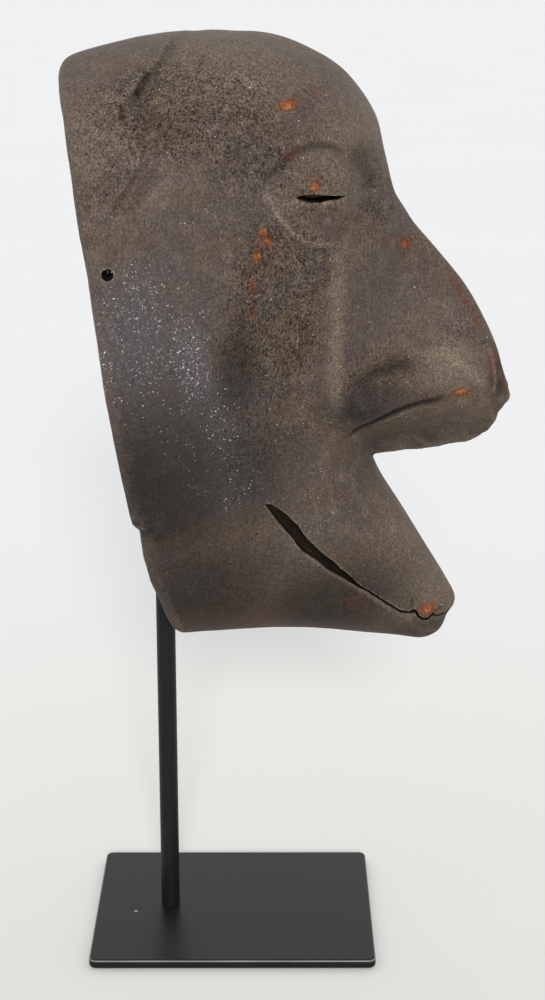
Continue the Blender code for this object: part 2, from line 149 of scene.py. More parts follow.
# The nose's profile: down its ridge, round the chipped tip and back underneath, closed
# inside the head.
NOSE_OUTLINE = (
    (0.200, 0.800), (0.331, 0.742), (0.382, 0.707), (0.430, 0.657), (0.481, 0.593),
    (0.517, 0.527), (0.543, 0.461), (0.553, 0.427), (0.551, 0.410), (0.537, 0.392),
    (0.530, 0.374), (0.511, 0.350), (0.484, 0.336), (0.428, 0.327), (0.339, 0.317),
    (0.200, 0.304),
)
NOSE_UNDERSIDE_ROWS = 5
NOSE_REACH = 0.16
NOSE_ROUNDNESS = 1.15

# A nostril wing's lower edge from back to front, then how far out it lies and how thick it
# is, as shares of the nose's half width.
WING = (
    (0.280, 0.386, 0.84, 0.34),
    (0.303, 0.396, 0.83, 0.36),
    (0.330, 0.409, 0.80, 0.36),
    (0.360, 0.423, 0.74, 0.33),
    (0.394, 0.432, 0.66, 0.27),
    (0.430, 0.435, 0.57, 0.20),
    (0.465, 0.439, 0.48, 0.14),
)

# The slot under a wing, from back to front: how far out it lies, as a share of the nose's
# half width, and its radius.
NOSTRIL = (
    (0.275, 0.370, 0.72, 0.0008),
    (0.290, 0.376, 0.69, 0.0014),
    (0.305, 0.382, 0.66, 0.0020),
    (0.322, 0.388, 0.63, 0.0024),
    (0.337, 0.394, 0.62, 0.0025),
    (0.355, 0.405, 0.66, 0.0023),
    (0.376, 0.417, 0.71, 0.0019),
    (0.394, 0.425, 0.76, 0.0014),
    (0.410, 0.429, 0.78, 0.0011),
    (0.432, 0.433, 0.75, 0.0008),
    (0.452, 0.438, 0.72, 0.0006),
)

# The rear rim from the top down, with the chip above the jaw.
RIM_OUTLINE = (
    (-0.176, 1.050), (-0.166, 0.945), (-0.146, 0.882), (-0.130, 0.803), (-0.118, 0.722),
    (-0.107, 0.663), (-0.097, 0.575), (-0.088, 0.482), (-0.074, 0.385), (-0.059, 0.285),
    (-0.055, 0.262), (-0.044, 0.255), (-0.040, 0.205), (-0.030, 0.155), (-0.018, 0.115),
    (-0.008, 0.070), (0.000, 0.030), (0.000, -0.060),
)

# The front edge of the raised band, from the crown down to the rim.
BAND_EDGE = (
    (0.060, 1.030), (0.037, 1.001), (0.018, 0.986), (0.005, 0.974), (-0.017, 0.945),
    (-0.035, 0.924), (-0.050, 0.909), (-0.056, 0.895), (-0.052, 0.874), (-0.040, 0.853),
    (-0.032, 0.835), (-0.034, 0.812), (-0.054, 0.779), (-0.071, 0.755), (-0.100, 0.728),
    (-0.135, 0.705),
)
BAND_BACK = -0.5

# The mouth's slit: its upper edge forward from the corner to past the lips' tip, and its
# lower edge back again. The upper lip has a step in it, and the front is a ragged crack.
MOUTH_SLIT = (
    (0.151, 0.289), (0.162, 0.287), (0.176, 0.276), (0.187, 0.266), (0.195, 0.256),
    (0.205, 0.245), (0.211, 0.234), (0.219, 0.222), (0.230, 0.210), (0.240, 0.199),
    (0.253, 0.187), (0.265, 0.176), (0.274, 0.165), (0.284, 0.157), (0.296, 0.144),
    (0.308, 0.132), (0.323, 0.122), (0.339, 0.109), (0.360, 0.093), (0.373, 0.083),
    (0.388, 0.078), (0.396, 0.080), (0.402, 0.077), (0.406, 0.068), (0.413, 0.061),
    (0.421, 0.060), (0.429, 0.066), (0.437, 0.060), (0.446, 0.059), (0.456, 0.058),
    (0.520, 0.060),
    (0.520, 0.056), (0.456, 0.054), (0.447, 0.055), (0.437, 0.056), (0.429, 0.062),
    (0.421, 0.056), (0.411, 0.057), (0.403, 0.064), (0.399, 0.072), (0.388, 0.074),
    (0.373, 0.078),
    (0.353, 0.094), (0.333, 0.110), (0.316, 0.123), (0.303, 0.131), (0.289, 0.141),
    (0.275, 0.150), (0.263, 0.158), (0.253, 0.165), (0.236, 0.182), (0.221, 0.195),
    (0.211, 0.203), (0.202, 0.215), (0.195, 0.227), (0.185, 0.239), (0.175, 0.252),
    (0.162, 0.271),
)

# An eye's slit: its upper edge forward, and its lower edge back again.
EYE_SLIT = (
    (0.198, 0.770), (0.205, 0.773), (0.217, 0.774), (0.223, 0.774), (0.235, 0.772),
    (0.247, 0.770), (0.259, 0.768), (0.268, 0.767), (0.276, 0.767), (0.270, 0.764),
    (0.262, 0.761), (0.250, 0.762), (0.241, 0.761), (0.235, 0.760), (0.226, 0.761),
    (0.217, 0.762), (0.205, 0.766),
)

EYE_CENTRE = (0.234, 0.766)
EYE_RADII = (0.078, 0.074)
CORD_HOLE = (-0.076, 0.669)

# Levels between which the widths and the fill under the nose change
CHEEK_LEVEL = 0.66
JAW_LEVEL = 0.05
BRIDGE_LEVEL = 0.72
WING_LEVEL = 0.42
NOSTRIL_LEVEL = 0.36

# Lines on the mask that the carving, the wear, the stains, painted shade and highlights follow
BROW_GROOVE = (
    (0.156, 0.795), (0.169, 0.811), (0.184, 0.824), (0.202, 0.835), (0.223, 0.841),
    (0.244, 0.840), (0.262, 0.834), (0.280, 0.823),
)
BROW_HOLLOW = ((0.280, 0.826), (0.291, 0.819), (0.302, 0.803), (0.310, 0.784), (0.313, 0.764))
EYE_RIDGE = (
    (0.157, 0.792), (0.154, 0.776), (0.162, 0.760), (0.174, 0.742), (0.187, 0.725),
    (0.202, 0.710), (0.217, 0.699), (0.235, 0.694), (0.254, 0.695), (0.268, 0.702),
)
EYE_SLIT_RIM = ((0.194, 0.772), (0.200, 0.765), (0.211, 0.760), (0.230, 0.758), (0.270, 0.758))
MOUTH_RIM = (
    (0.162, 0.265), (0.187, 0.236), (0.214, 0.202), (0.256, 0.165), (0.291, 0.139),
    (0.333, 0.106), (0.373, 0.075), (0.397, 0.070),
)
CHEEK_CREASE = (
    (0.274, 0.706), (0.267, 0.652), (0.263, 0.590), (0.261, 0.525), (0.262, 0.459), (0.268, 0.410),
)
FOREHEAD_ARC = (
    (0.157, 0.915), (0.149, 0.926), (0.134, 0.931), (0.124, 0.924), (0.102, 0.904),
    (0.080, 0.877), (0.066, 0.857), (0.059, 0.836),
)
BAND_SLOTS = (
    ((0.016, 0.985), (0.003, 0.973)),
    ((-0.017, 0.946), (-0.027, 0.934), (-0.034, 0.921), (-0.040, 0.911)),
    ((-0.055, 0.905), (-0.057, 0.893), (-0.054, 0.882)),
)
BAND_SHADE = ((0.012, 0.982), (0.000, 0.968), (-0.012, 0.953), (-0.024, 0.938))
BAND_RIDGE = ((-0.050, 0.872), (-0.040, 0.855), (-0.033, 0.840), (-0.031, 0.815))
BAND_CREASE = ((-0.034, 0.812), (-0.042, 0.797), (-0.054, 0.779), (-0.071, 0.755))
NOSE_STREAKS = (
    (
        (0.404, 0.490), (0.424, 0.506), (0.446, 0.498), (0.466, 0.485), (0.488, 0.463),
        (0.507, 0.440),
    ),
    ((0.366, 0.511), (0.398, 0.509), (0.438, 0.511), (0.480, 0.503)),
)
RIDGE_STREAK = (
    (0.442, 0.632), (0.452, 0.612), (0.467, 0.589), (0.480, 0.569), (0.491, 0.549), (0.503, 0.530),
)
TIP_CRACK = ((0.513, 0.505), (0.517, 0.494), (0.521, 0.474), (0.524, 0.452), (0.519, 0.431))
WING_GLEAM = ((0.302, 0.420), (0.314, 0.428), (0.326, 0.436), (0.338, 0.443))
RIM_STRIP = ((-0.108, 0.668), (-0.102, 0.610), (-0.094, 0.545), (-0.086, 0.480), (-0.076, 0.400))
WING_TOP = (
    (0.278, 0.450), (0.294, 0.464), (0.315, 0.478), (0.342, 0.487), (0.366, 0.492), (0.390, 0.486),
)
LIP_CRACKS = (
    ((0.394, 0.102), (0.393, 0.080)),
    ((0.429, 0.064), (0.438, 0.070), (0.448, 0.073)),
)

# Fine relief: each line's width and height, up or down.
FINE_RELIEF = (
    (BROW_GROOVE, 0.0014, -0.0016),
    (BROW_HOLLOW, 0.0042, -0.0017),
    (EYE_RIDGE, 0.0015, 0.0009),
    (EYE_SLIT_RIM, 0.0009, 0.0004),
    (MOUTH_RIM, 0.0016, 0.0003),
    (CHEEK_CREASE, 0.0050, -0.0007),
    (FOREHEAD_ARC, 0.0018, 0.0005),
    (BAND_SLOTS[0], 0.0016, -0.0009),
    (BAND_SLOTS[1], 0.0014, -0.0024),
    (BAND_SLOTS[2], 0.0012, -0.0018),
    (BAND_CREASE, 0.0012, -0.0006),
    (NOSE_STREAKS[0], 0.0020, 0.0004),
    (LIP_CRACKS[0], 0.0007, -0.0009),
    (LIP_CRACKS[1], 0.0007, -0.0009),
)

# Lines rubbed light, partly painted highlight where a rim or ridge catches the light, and lines
# of painted shade in grooves, slots and cracks: each line's width and strength.
RUBBED_AND_HIGHLIT_LINES = (
    (EYE_RIDGE, 0.0014, 0.85),
    (EYE_SLIT_RIM, 0.0009, 1.00),
    (MOUTH_RIM, 0.0009, 0.60),
    (CHEEK_CREASE, 0.0040, 0.45),
    (FOREHEAD_ARC, 0.0010, 0.45),
    (BAND_RIDGE, 0.0010, 0.60),
    (NOSE_STREAKS[0], 0.0022, 0.70),
    (NOSE_STREAKS[1], 0.0014, 0.45),
    (TIP_CRACK, 0.0009, 0.80),
)
# Painted shade, darker in grooves, slots, creases, cracks and above the nostril wings
GROOVE_SHADE_LINES = (
    (BROW_GROOVE, 0.0012, 0.50),
    (BROW_HOLLOW, 0.0048, 0.62),
    (BAND_SLOTS[0], 0.0022, 0.30),
    (BAND_SHADE, 0.0032, 0.38),
    (BAND_SLOTS[1], 0.0013, 0.90),
    (BAND_SLOTS[2], 0.0012, 0.90),
    (BAND_CREASE, 0.0010, 0.35),
    (WING_TOP, 0.0045, 0.70),
    (LIP_CRACKS[0], 0.0008, 0.90),
    (LIP_CRACKS[1], 0.0008, 0.90),
)

# Lines of reddish wood on the near side, lines of painted shade as dark as a pit, and lines
# of painted highlight that gleam.
RUST_LINES = (
    (RIDGE_STREAK, 0.0024, 0.68),
    (BROW_HOLLOW, 0.0060, 0.26),
    (BAND_SLOTS[1], 0.0010, 0.60),
    (BAND_SLOTS[2], 0.0009, 0.60),
    (BAND_CREASE, 0.0010, 0.45),
    (RIM_STRIP, 0.0020, 0.70),
)
SLOT_SHADE_LINES = (
    ([row[:2] for row in NOSTRIL], 0.0018, 1.00),
)
SHEEN_LINES = (
    (WING_GLEAM, 0.0009, 0.90),
)

# How much of the wood is pitted outside the zones that say so
PITTED_ANYWHERE = 0.22

# Where the surface differs: forward, up, then the reach along and across of each soft patch
# and its strength. Marks lie on the near side unless they say otherwise, and zones on both.
BARE_MARKS = (
    (0.187, 0.901, 0.018, 0.012, 1.00),
    (0.149, 0.723, 0.014, 0.010, 0.95),
    (0.160, 0.708, 0.010, 0.010, 0.90),
    (0.141, 0.686, 0.012, 0.015, 1.00),
    (0.227, 0.784, 0.014, 0.011, 0.95),
    (0.197, 0.773, 0.006, 0.005, 0.55),
    (0.373, 0.675, 0.011, 0.012, 0.80),
    (0.467, 0.443, 0.020, 0.008, 1.00),
    (0.420, 0.076, 0.027, 0.018, 0.80),
)
RUST_MARKS = (
    (0.134, 0.640, 0.013, 0.026, 0.85),
    (0.133, 0.605, 0.011, 0.018, 0.80),
    (0.152, 0.705, 0.032, 0.036, 0.60),
    (0.187, 0.903, 0.030, 0.018, 0.62),
    (0.225, 0.920, 0.016, 0.012, 0.60),
    (0.200, 0.839, 0.014, 0.008, 0.55),
    (0.187, 0.829, 0.015, 0.007, 0.85),
    (0.226, 0.792, 0.020, 0.024, 0.50),
    (0.339, 0.688, 0.012, 0.010, 0.80),
    (0.373, 0.676, 0.024, 0.026, 0.60),
    (-0.040, 0.842, 0.010, 0.012, 0.55),
    (0.522, 0.480, 0.016, 0.045, 0.62),
    (0.467, 0.438, 0.034, 0.018, 0.60),
    (0.398, 0.392, 0.036, 0.018, 0.50),
    (0.426, 0.068, 0.040, 0.026, 0.35),
    (0.541, 0.448, 0.014, 0.050, 0.50),
    (0.300, 0.105, 0.060, 0.030, 0.40),
    (0.100, 0.075, 0.180, 0.045, 0.35),
)
FAR_SIDE_MARKS = (
    (0.120, 0.820, 0.016, 0.012, 0.95),
    (0.300, 0.560, 0.011, 0.016, 0.90),
    (0.050, 0.420, 0.012, 0.018, 0.85),
    (0.430, 0.070, 0.018, 0.012, 0.90),
)
PITTED_ZONES = (
    (0.170, 0.600, 0.115, 0.230, 1.00),
    (0.215, 0.660, 0.070, 0.080, 1.00),
    (0.030, 0.900, 0.240, 0.120, 0.85),
    (0.140, 0.830, 0.120, 0.100, 0.70),
    (0.232, 0.767, 0.090, 0.090, 0.60),
    (0.330, 0.760, 0.060, 0.080, 0.80),
    (-0.070, 0.830, 0.070, 0.120, 0.60),
    (0.150, 0.400, 0.110, 0.120, 0.55),
    (0.470, 0.540, 0.060, 0.070, 0.40),
    (0.330, 0.470, 0.090, 0.060, 0.50),
)
GLAZED_ZONES = (
    (-0.020, 0.560, 0.140, 0.180, 1.00),
    (0.040, 0.440, 0.120, 0.120, 1.00),
    (0.100, 0.330, 0.120, 0.080, 0.75),
    (-0.082, 0.750, 0.018, 0.014, 0.45),
    (0.070, 0.740, 0.110, 0.090, 0.45),
    (0.330, 0.600, 0.070, 0.080, 0.45),
    (0.230, 0.230, 0.080, 0.060, 0.45),
)
# Painted sheen: the bluish highlight on the glaze
SHEEN_ZONES = (
    (0.045, 0.520, 0.030, 0.085, 1.00),
    (-0.030, 0.600, 0.060, 0.120, 0.35),
    (0.110, 0.400, 0.060, 0.050, 0.35),
)
# Dark patina low on the cheeks and jaw, and painted shade under the nose, on its wings and in the
# brow's hollow
SOOT_AND_SHADE_ZONES = (
    (0.000, 0.330, 0.170, 0.220, 1.00),
    (0.120, 0.350, 0.110, 0.140, 0.75),
    (0.050, 0.140, 0.200, 0.160, 0.85),
    (0.260, 0.110, 0.180, 0.100, 0.90),
    (0.420, 0.030, 0.120, 0.050, 0.70),
    (0.300, 0.428, 0.080, 0.042, 1.00),
    (0.325, 0.450, 0.068, 0.038, 0.85),
    (0.533, 0.455, 0.026, 0.066, 0.95),
    (0.420, 0.348, 0.160, 0.056, 0.64),
    (0.110, 0.500, 0.050, 0.125, 0.85),
    (0.000, 0.400, 0.110, 0.060, 0.50),
    (0.300, 0.815, 0.034, 0.034, 0.55),
)
# Worn, greyed patina, and painted light on the upper faces of the head, nose and lips
DUSTY_AND_LIT_ZONES = (
    (0.100, 0.960, 0.200, 0.080, 0.80),
    (0.300, 0.860, 0.080, 0.130, 0.80),
    (-0.100, 0.880, 0.080, 0.100, 0.70),
    (0.420, 0.560, 0.090, 0.060, 0.35),
    (0.450, 0.485, 0.070, 0.050, 1.00),
    (0.400, 0.220, 0.080, 0.150, 0.75),
    (0.430, 0.120, 0.070, 0.090, 0.85),
    (0.170, 0.760, 0.030, 0.040, 0.55),
    (0.262, 0.540, 0.016, 0.160, 0.60),
    (0.260, 0.800, 0.070, 0.060, 0.60),
)
CRUSTED_ZONES = (
    (0.545, 0.430, 0.026, 0.075, 1.00),
    (0.525, 0.365, 0.030, 0.030, 0.80),
    (0.470, 0.332, 0.050, 0.012, 0.60),
    (0.385, 0.320, 0.050, 0.010, 0.50),
    (0.440, 0.060, 0.045, 0.020, 0.50),
    (-0.050, 0.262, 0.014, 0.020, 0.60),
)

# Where a speck of primer lies on the plate, in metres
SPECK = (-0.0536, -0.0087, 0.005)


# What a user would change

def metres(name, description, default, low, high):
    return FloatProperty(
        name=name, description=description, default=default, min=low, max=high, unit="LENGTH"
    )


def factor(name, description, default):
    return FloatProperty(
        name=name, description=description, default=default, min=0, max=1, subtype="FACTOR"
    )


def power(name, description, default):
    return FloatProperty(name=name, description=description, default=default, min=0, max=20)


def degrees(name, description, default, low=-180):
    return FloatProperty(
        name=name, description=description, default=math.radians(default),
        min=math.radians(low), max=math.pi, subtype="ANGLE",
    )


def colour(name, description, default):
    return FloatVectorProperty(
        name=name, description=description, default=default, subtype="COLOR", min=0, max=1
    )


class CarvingSizes(bpy.types.PropertyGroup):
    """How finely the mask is carved."""

    step: metres(
        "Sampling step", "Distance between the samples of the carved form",
        0.00122, 0.0008, 0.004,
    )
    triangles: IntProperty(
        name="Triangles", description="How many triangles the mask keeps before its slits are cut",
        default=190000, min=20000, max=195000,
    )
    mark_length: metres("Mark length", "Length of the broad adze marks", 0.016, 0.004, 0.05)
    mark_depth: metres("Mark depth", "How deep the adze marks are", 0.0006, 0, 0.002)
    pore_length: metres("Pore length", "Length of the larger open pores", 0.0042, 0.001, 0.01)
    pore_depth: metres("Pore depth", "How deep the larger open pores are", 0.00035, 0, 0.001)
    chip_depth: metres("Chip depth", "How deep chips and crusted edges are", 0.0008, 0, 0.003)
    gouge_depth: metres("Gouge depth", "How deep the hollow's gouge cuts are", 0.0012, 0, 0.003)


class PatinaLook(bpy.types.PropertyGroup):
    """The colours of the old wood, with its painted shade and highlights."""

    brown: colour("Brown", "The patina over most of the mask", (0.092, 0.063, 0.042))
    plum: colour("Plum", "Where the patina turns purple-grey", (0.078, 0.058, 0.056))
    # Worn, greyed patina, also painted light on the upper faces of the head, nose and lips
    dusty: colour("Dusty", "Where the patina is worn and greyed", (0.150, 0.114, 0.085))
    # Edges rubbed light by handling, and painted highlight where a rim or ridge catches the light
    rubbed: colour("Rubbed", "Edges rubbed light by handling", (0.215, 0.168, 0.126))
    # The glaze's blue-grey tone also stands in for part of its sheen, as painted sheen
    glazed: colour("Glazed", "The blue-grey sheen on the cheek", (0.062, 0.054, 0.056))
    # Painted sheen: the bluish highlight on the glaze, not a bloom
    sheen: colour("Sheen", "The bluish bloom on the glaze", (0.094, 0.096, 0.108))
    # Darkest patina low on the cheeks, also painted shade in grooves, under the nose and on its
    # wings
    soot: colour("Soot", "The darkest patina, low on the cheeks", (0.017, 0.014, 0.012))
    # Also the colour of the painted shade in the nostril slots and on the cut walls
    pit_and_shade: colour("Pit", "The open pores", (0.010, 0.008, 0.006))
    rust: colour("Rust", "Reddish wood that shows through", (0.130, 0.034, 0.012))
    bare: colour("Bare", "Fresh wood in the chips", (0.420, 0.170, 0.050))
    hollow: colour("Hollow", "The unpolished wood inside", (0.050, 0.035, 0.025))
    glint: colour("Glint", "Specks of light on the glaze", (1.0, 0.98, 0.98))
    roughness: factor("Roughness", "Roughness of the dull patina", 0.60)
    glazed_roughness: factor("Glazed roughness", "Roughness of the glazed patina", 0.38)


class StandLook(bpy.types.PropertyGroup):
    """The stand's paint with its painted edge highlight, and its bare wire with ends painted as
    shade.
    """

    paint: colour("Paint", "The satin black paint", (0.0055, 0.0055, 0.0057))
    speck: colour("Speck", "A speck of primer on the plate", (0.46, 0.28, 0.22))
    dust: colour("Dust", "Fine dust on the paint", (0.050, 0.050, 0.046))
    # Painted highlight along the plate's upper edge
    edge_highlight: colour("Worn edge", "The plate's upper edge, rubbed bright", (0.24, 0.24, 0.235))
    paint_roughness: factor("Paint roughness", "How dull the paint is", 0.36)
    steel: colour("Steel", "The bare wire", (0.42, 0.41, 0.40))
    # Also painted shade on the wire's ends in the cord holes
    tarnish: colour("Tarnish", "The wire's dulled spots and ends", (0.035, 0.032, 0.030))
    edge_round: metres("Edge rounding", "Radius of the plate's edges", 0.0013, 0.0002, 0.002)


class StudioLook(bpy.types.PropertyGroup):
    """The floor, the lights and the camera."""

    floor: colour("Floor", "The pale paper floor under the stand", (0.725, 0.715, 0.685))
    # Painted light: the paper is painted lighter further from the stand
    distance: colour("Distance", "The paper floor far from the stand", (0.755, 0.755, 0.758))
    floor_radius: metres("Floor radius", "How far the floor reaches", 60, 1, 1000)
    sky_behind: power("Light behind", "Strength of the even light behind the mask", 1.25)
    sky_before: power("Light in front", "Strength of the even light behind the camera", 0.45)
    key_strength: power("Key light", "Strength of the soft light above the camera", 2.5)
    key_spread: degrees("Key light spread", "How wide the soft light looks from the mask", 13, 0)
    key_direction: FloatVectorProperty(
        name="Key light direction", description="Which way the soft light shines",
        default=(-0.05, 1.0, -0.42), subtype="DIRECTION",
    )
    camera_place: FloatVectorProperty(
        name="Camera", description="Where the camera stands",
        default=(0.0197, -0.9256, 0.5232), subtype="TRANSLATION", unit="LENGTH",
    )
    camera_tilt: degrees("Camera tilt", "How far the camera looks down", 17.1456)
    camera_turn: degrees("Camera turn", "How far the camera turns from +Y", -0.085)
    lens: FloatProperty(
        name="Lens", description="Focal length on a 36 mm sensor, in millimetres", default=67.68,
        min=10, max=300,
    )


# Points and outlines in the profile drawing

def in_place(forward, up):
    """A point of the profile drawing, in metres in the part's frame."""
    return CHIN_REAR_X + forward * MASK_HEIGHT, CHIN_HEIGHT + up * MASK_HEIGHT


def smooth_line(rows, spacing):
    """A Catmull-Rom curve through the rows, with a point about every spacing."""
    points = np.array([(*in_place(row[0], row[1]), *row[2:]) for row in rows])
    ends = np.vstack([2 * points[0] - points[1], points, 2 * points[-1] - points[-2]])
    sampled = []
    for a, b, c, d in zip(ends, ends[1:], ends[2:], ends[3:]):
        count = max(2, round(math.dist(b[:2], c[:2]) / spacing))
        t = np.linspace(0, 1, count, endpoint=False)[:, None]
        sampled.append(
            0.5 * (2 * b + (c - a) * t + (2 * a - 5 * b + 4 * c - d) * t**2
                   + (3 * b - a - 3 * c + d) * t**3)
        )
    return np.vstack([*sampled, points[-1:]])


def distance_to(x, z, line):
    """How far each point is from a line, and how far along it the nearest spot lies."""
    nearest = np.full(x.shape, np.inf)
    along = np.zeros(x.shape)
    for n, (a, b) in enumerate(zip(line[:-1, :2], line[1:, :2])):
        step = b - a
        t = np.clip(((x - a[0]) * step[0] + (z - a[1]) * step[1]) / (step @ step), 0, 1)
        away = np.hypot(x - a[0] - t * step[0], z - a[1] - t * step[1])
        nearer = away < nearest
        nearest = np.where(nearer, away, nearest)
        along = np.where(nearer, (n + t) / (len(line) - 1), along)
    return nearest, along


def is_inside(x, z, line):
    """True where a point lies in the polygon that the line closes."""
    inside = np.zeros(x.shape, bool)
    for (ax, az), (bx, bz) in zip(line[:, :2], np.roll(line[:, :2], -1, axis=0)):
        if az != bz:
            inside ^= ((az > z) != (bz > z)) & (x < (bx - ax) * (z - az) / (bz - az) + ax)
    return inside


def depth_inside(x, z, line):
    """How deep inside an outline a point lies: true near it, and without creases further in.

    The outline's further columns come back too, averaged over it with the same weights.
    """
    middles = (line[1:] + line[:-1]) / 2
    lengths = np.hypot(*(line[1:, :2] - line[:-1, :2]).T)
    weight = np.zeros(x.shape)
    averages = [np.zeros(x.shape) for _ in range(line.shape[1] - 2)]
    for middle, length in zip(middles, lengths):
        squared = (x - middle[0]) ** 2 + (z - middle[1]) ** 2 + (length / 2) ** 2
        pull = length / squared**1.5
        weight += pull
        for average, value in zip(averages, middle[2:]):
            average += pull * value
    true, _ = distance_to(x, z, line)
    deeper = smooth_step((true / OUTLINE_SPACING - 2) / 6)
    depth = true * (1 - deeper) + np.sqrt(2 / weight) * deeper
    averages = [average / weight for average in averages]
    return np.where(is_inside(x, z, line), depth, -true), averages


def smooth_step(t):
    """0 below 0, 1 above 1, and smooth between."""
    t = np.clip(t, 0, 1)
    return t * t * (3 - 2 * t)


def level_share(z, low, high):
    """Rises smoothly from 0 to 1 between two levels of the profile drawing."""
    low_z = in_place(0, low)[1]
    high_z = in_place(0, high)[1]
    return smooth_step((z - low_z) / (high_z - low_z))


# Forms of the mask, each a distance that is negative in the wood

def head_section(x, z):
    """The head's half width, squared, at each point of the profile."""
    depth, (reach, roundness) = depth_inside(x, z, smooth_line(HEAD_OUTLINE, OUTLINE_SPACING))
    t = np.minimum(depth / (reach * MASK_HEIGHT), 1)
    widening = level_share(z, JAW_LEVEL, CHEEK_LEVEL)
    half_width = JAW_HALF_WIDTH + (MASK_HALF_WIDTH - JAW_HALF_WIDTH) * widening
    return half_width**2 * (1 - (1 - t) ** roundness)


def nose_section(x, z):
    """The nose's half width, squared, at each point of the profile."""
    depth, _ = depth_inside(x, z, smooth_line(NOSE_OUTLINE, OUTLINE_SPACING))
    t = np.minimum(depth / (NOSE_REACH * MASK_HEIGHT), 1)
    narrowing = level_share(z, WING_LEVEL, BRIDGE_LEVEL)
    half_width = NOSE_HALF_WIDTH + (RIDGE_HALF_WIDTH - NOSE_HALF_WIDTH) * narrowing
    return half_width**2 * (1 - (1 - t) ** NOSE_ROUNDNESS)


def from_section(section, y, spacing):
    """About how far a point is from the surface whose squared half width is given."""
    along_x, along_z = np.gradient(section, spacing)
    slope = np.sqrt(4 * y**2 + (along_x**2 + along_z**2)[:, None, :] + 1e-8)
    return (y**2 - section[:, None, :]) / slope


def roll(x, y, z, rows):
    """A rounded roll that follows rows of x, y, z and radius."""
    nearest = np.inf
    for start, end in zip(rows, rows[1:]):
        step = end - start
        t = (x - start[0]) * step[0] + (y - start[1]) * step[1] + (z - start[2]) * step[2]
        t = np.clip(t / (step[:3] @ step[:3]), 0, 1)
        away = np.sqrt(
            (x - start[0] - t * step[0]) ** 2
            + (y - start[1] - t * step[1]) ** 2
            + (z - start[2] - t * step[2]) ** 2
        )
        nearest = np.minimum(nearest, away - start[3] - t * step[3])
    return nearest


def soft_union(a, b, radius):
    """Two forms as one, filled in where they meet."""
    h = np.clip(0.5 + 0.5 * (b - a) / radius, 0, 1)
    return b + (a - b) * h - radius * h * (1 - h)


def soft_cut(a, b, radius):
    """What lies in both forms, with a rounded edge where they meet."""
    return -soft_union(-a, -b, radius)


def rim_cut(x, z):
    """The wood lies in front of the rim."""
    line = np.array([in_place(*row) for row in RIM_OUTLINE])[::-1]
    return np.interp(z, line[:, 1], line[:, 0]) - x


def wing_form(x, y, z):
    """The nostril wing: a roll that stands on its lower edge."""
    rows = []
    for forward, up, out, thick in WING:
        edge_x, edge_z = in_place(forward, up)
        radius = thick * NOSE_HALF_WIDTH
        rows.append((edge_x, out * NOSE_HALF_WIDTH, edge_z + radius, radius))
    return roll(x, y, z, np.array(rows))


def nostril_form(x, y, z):
    """The slot under the nostril wing."""
    rows = []
    for forward, up, out, radius in NOSTRIL:
        slot_x, slot_z = in_place(forward, up)
        rows.append((slot_x, out * NOSE_HALF_WIDTH, slot_z, radius))
    return roll(x, y, z, np.array(rows))


def underside_cut(x, y, z):
    """The nose's underside, which falls towards the middle, so that it shows from the side."""
    rows = np.array([in_place(*row) for row in NOSE_OUTLINE[-NOSE_UNDERSIDE_ROWS:]])[::-1]
    above_middle = z - np.interp(x, rows[:, 0], rows[:, 1])
    return y * math.sin(NOSE_UNDERSIDE_FALL) - above_middle * math.cos(NOSE_UNDERSIDE_FALL)


def eye_relief(x, z):
    """The lidded mound, a diamond with round corners."""
    eye_x, eye_z = in_place(*EYE_CENTRE)
    u = (x - eye_x) / (EYE_RADII[0] * MASK_HEIGHT)
    v = (z - eye_z) / (EYE_RADII[1] * MASK_HEIGHT)
    r = (np.abs(u) ** EYE_SQUARENESS + np.abs(v) ** EYE_SQUARENESS) ** (1 / EYE_SQUARENESS)
    return EYE_MOUND_HEIGHT * np.clip(1 - r**2, 0, 1) ** EYE_FLATNESS


def band_relief(x, z):
    """The height of the raised band, with a groove before its edge, fading downwards."""
    edge = smooth_line(BAND_EDGE, 2 * OUTLINE_SPACING)
    away, along = distance_to(x, z, edge)
    back = [in_place(BAND_BACK, BAND_EDGE[-1][1]), in_place(BAND_BACK, BAND_EDGE[0][1])]
    behind = np.where(is_inside(x, z, np.vstack([edge, back])), away, -away)
    crown = BAND_AT_CROWN + (1 - BAND_AT_CROWN) * smooth_step((along - 0.10) / 0.16)
    fade = crown * (1 - (1 - BAND_AT_FOOT) * smooth_step((along - 0.55) / 0.4))
    step = smooth_step(behind / BAND_EDGE_WIDTH + 0.5) * np.exp(-np.maximum(behind, 0) / BAND_FADE)
    groove = 0.5 * np.exp(-(((behind + BAND_GROOVE_AHEAD) / BAND_GROOVE_WIDTH) ** 2))
    return BAND_STEP * (step - groove) * fade


def along_line(x, z, points, width):
    """1 on a line of the profile, fading over its width and towards its ends."""
    away, along = distance_to(x, z, smooth_line(points, OUTLINE_SPACING))
    ends = smooth_step(5 * along + 0.2) * smooth_step(5 * (1 - along) + 0.2)
    return ends * np.exp(-((away / width) ** 2))


def fine_relief(x, z):
    """Grooves, cuts and faint ridges."""
    return sum(rise * along_line(x, z, points, width) for points, width, rise in FINE_RELIEF)


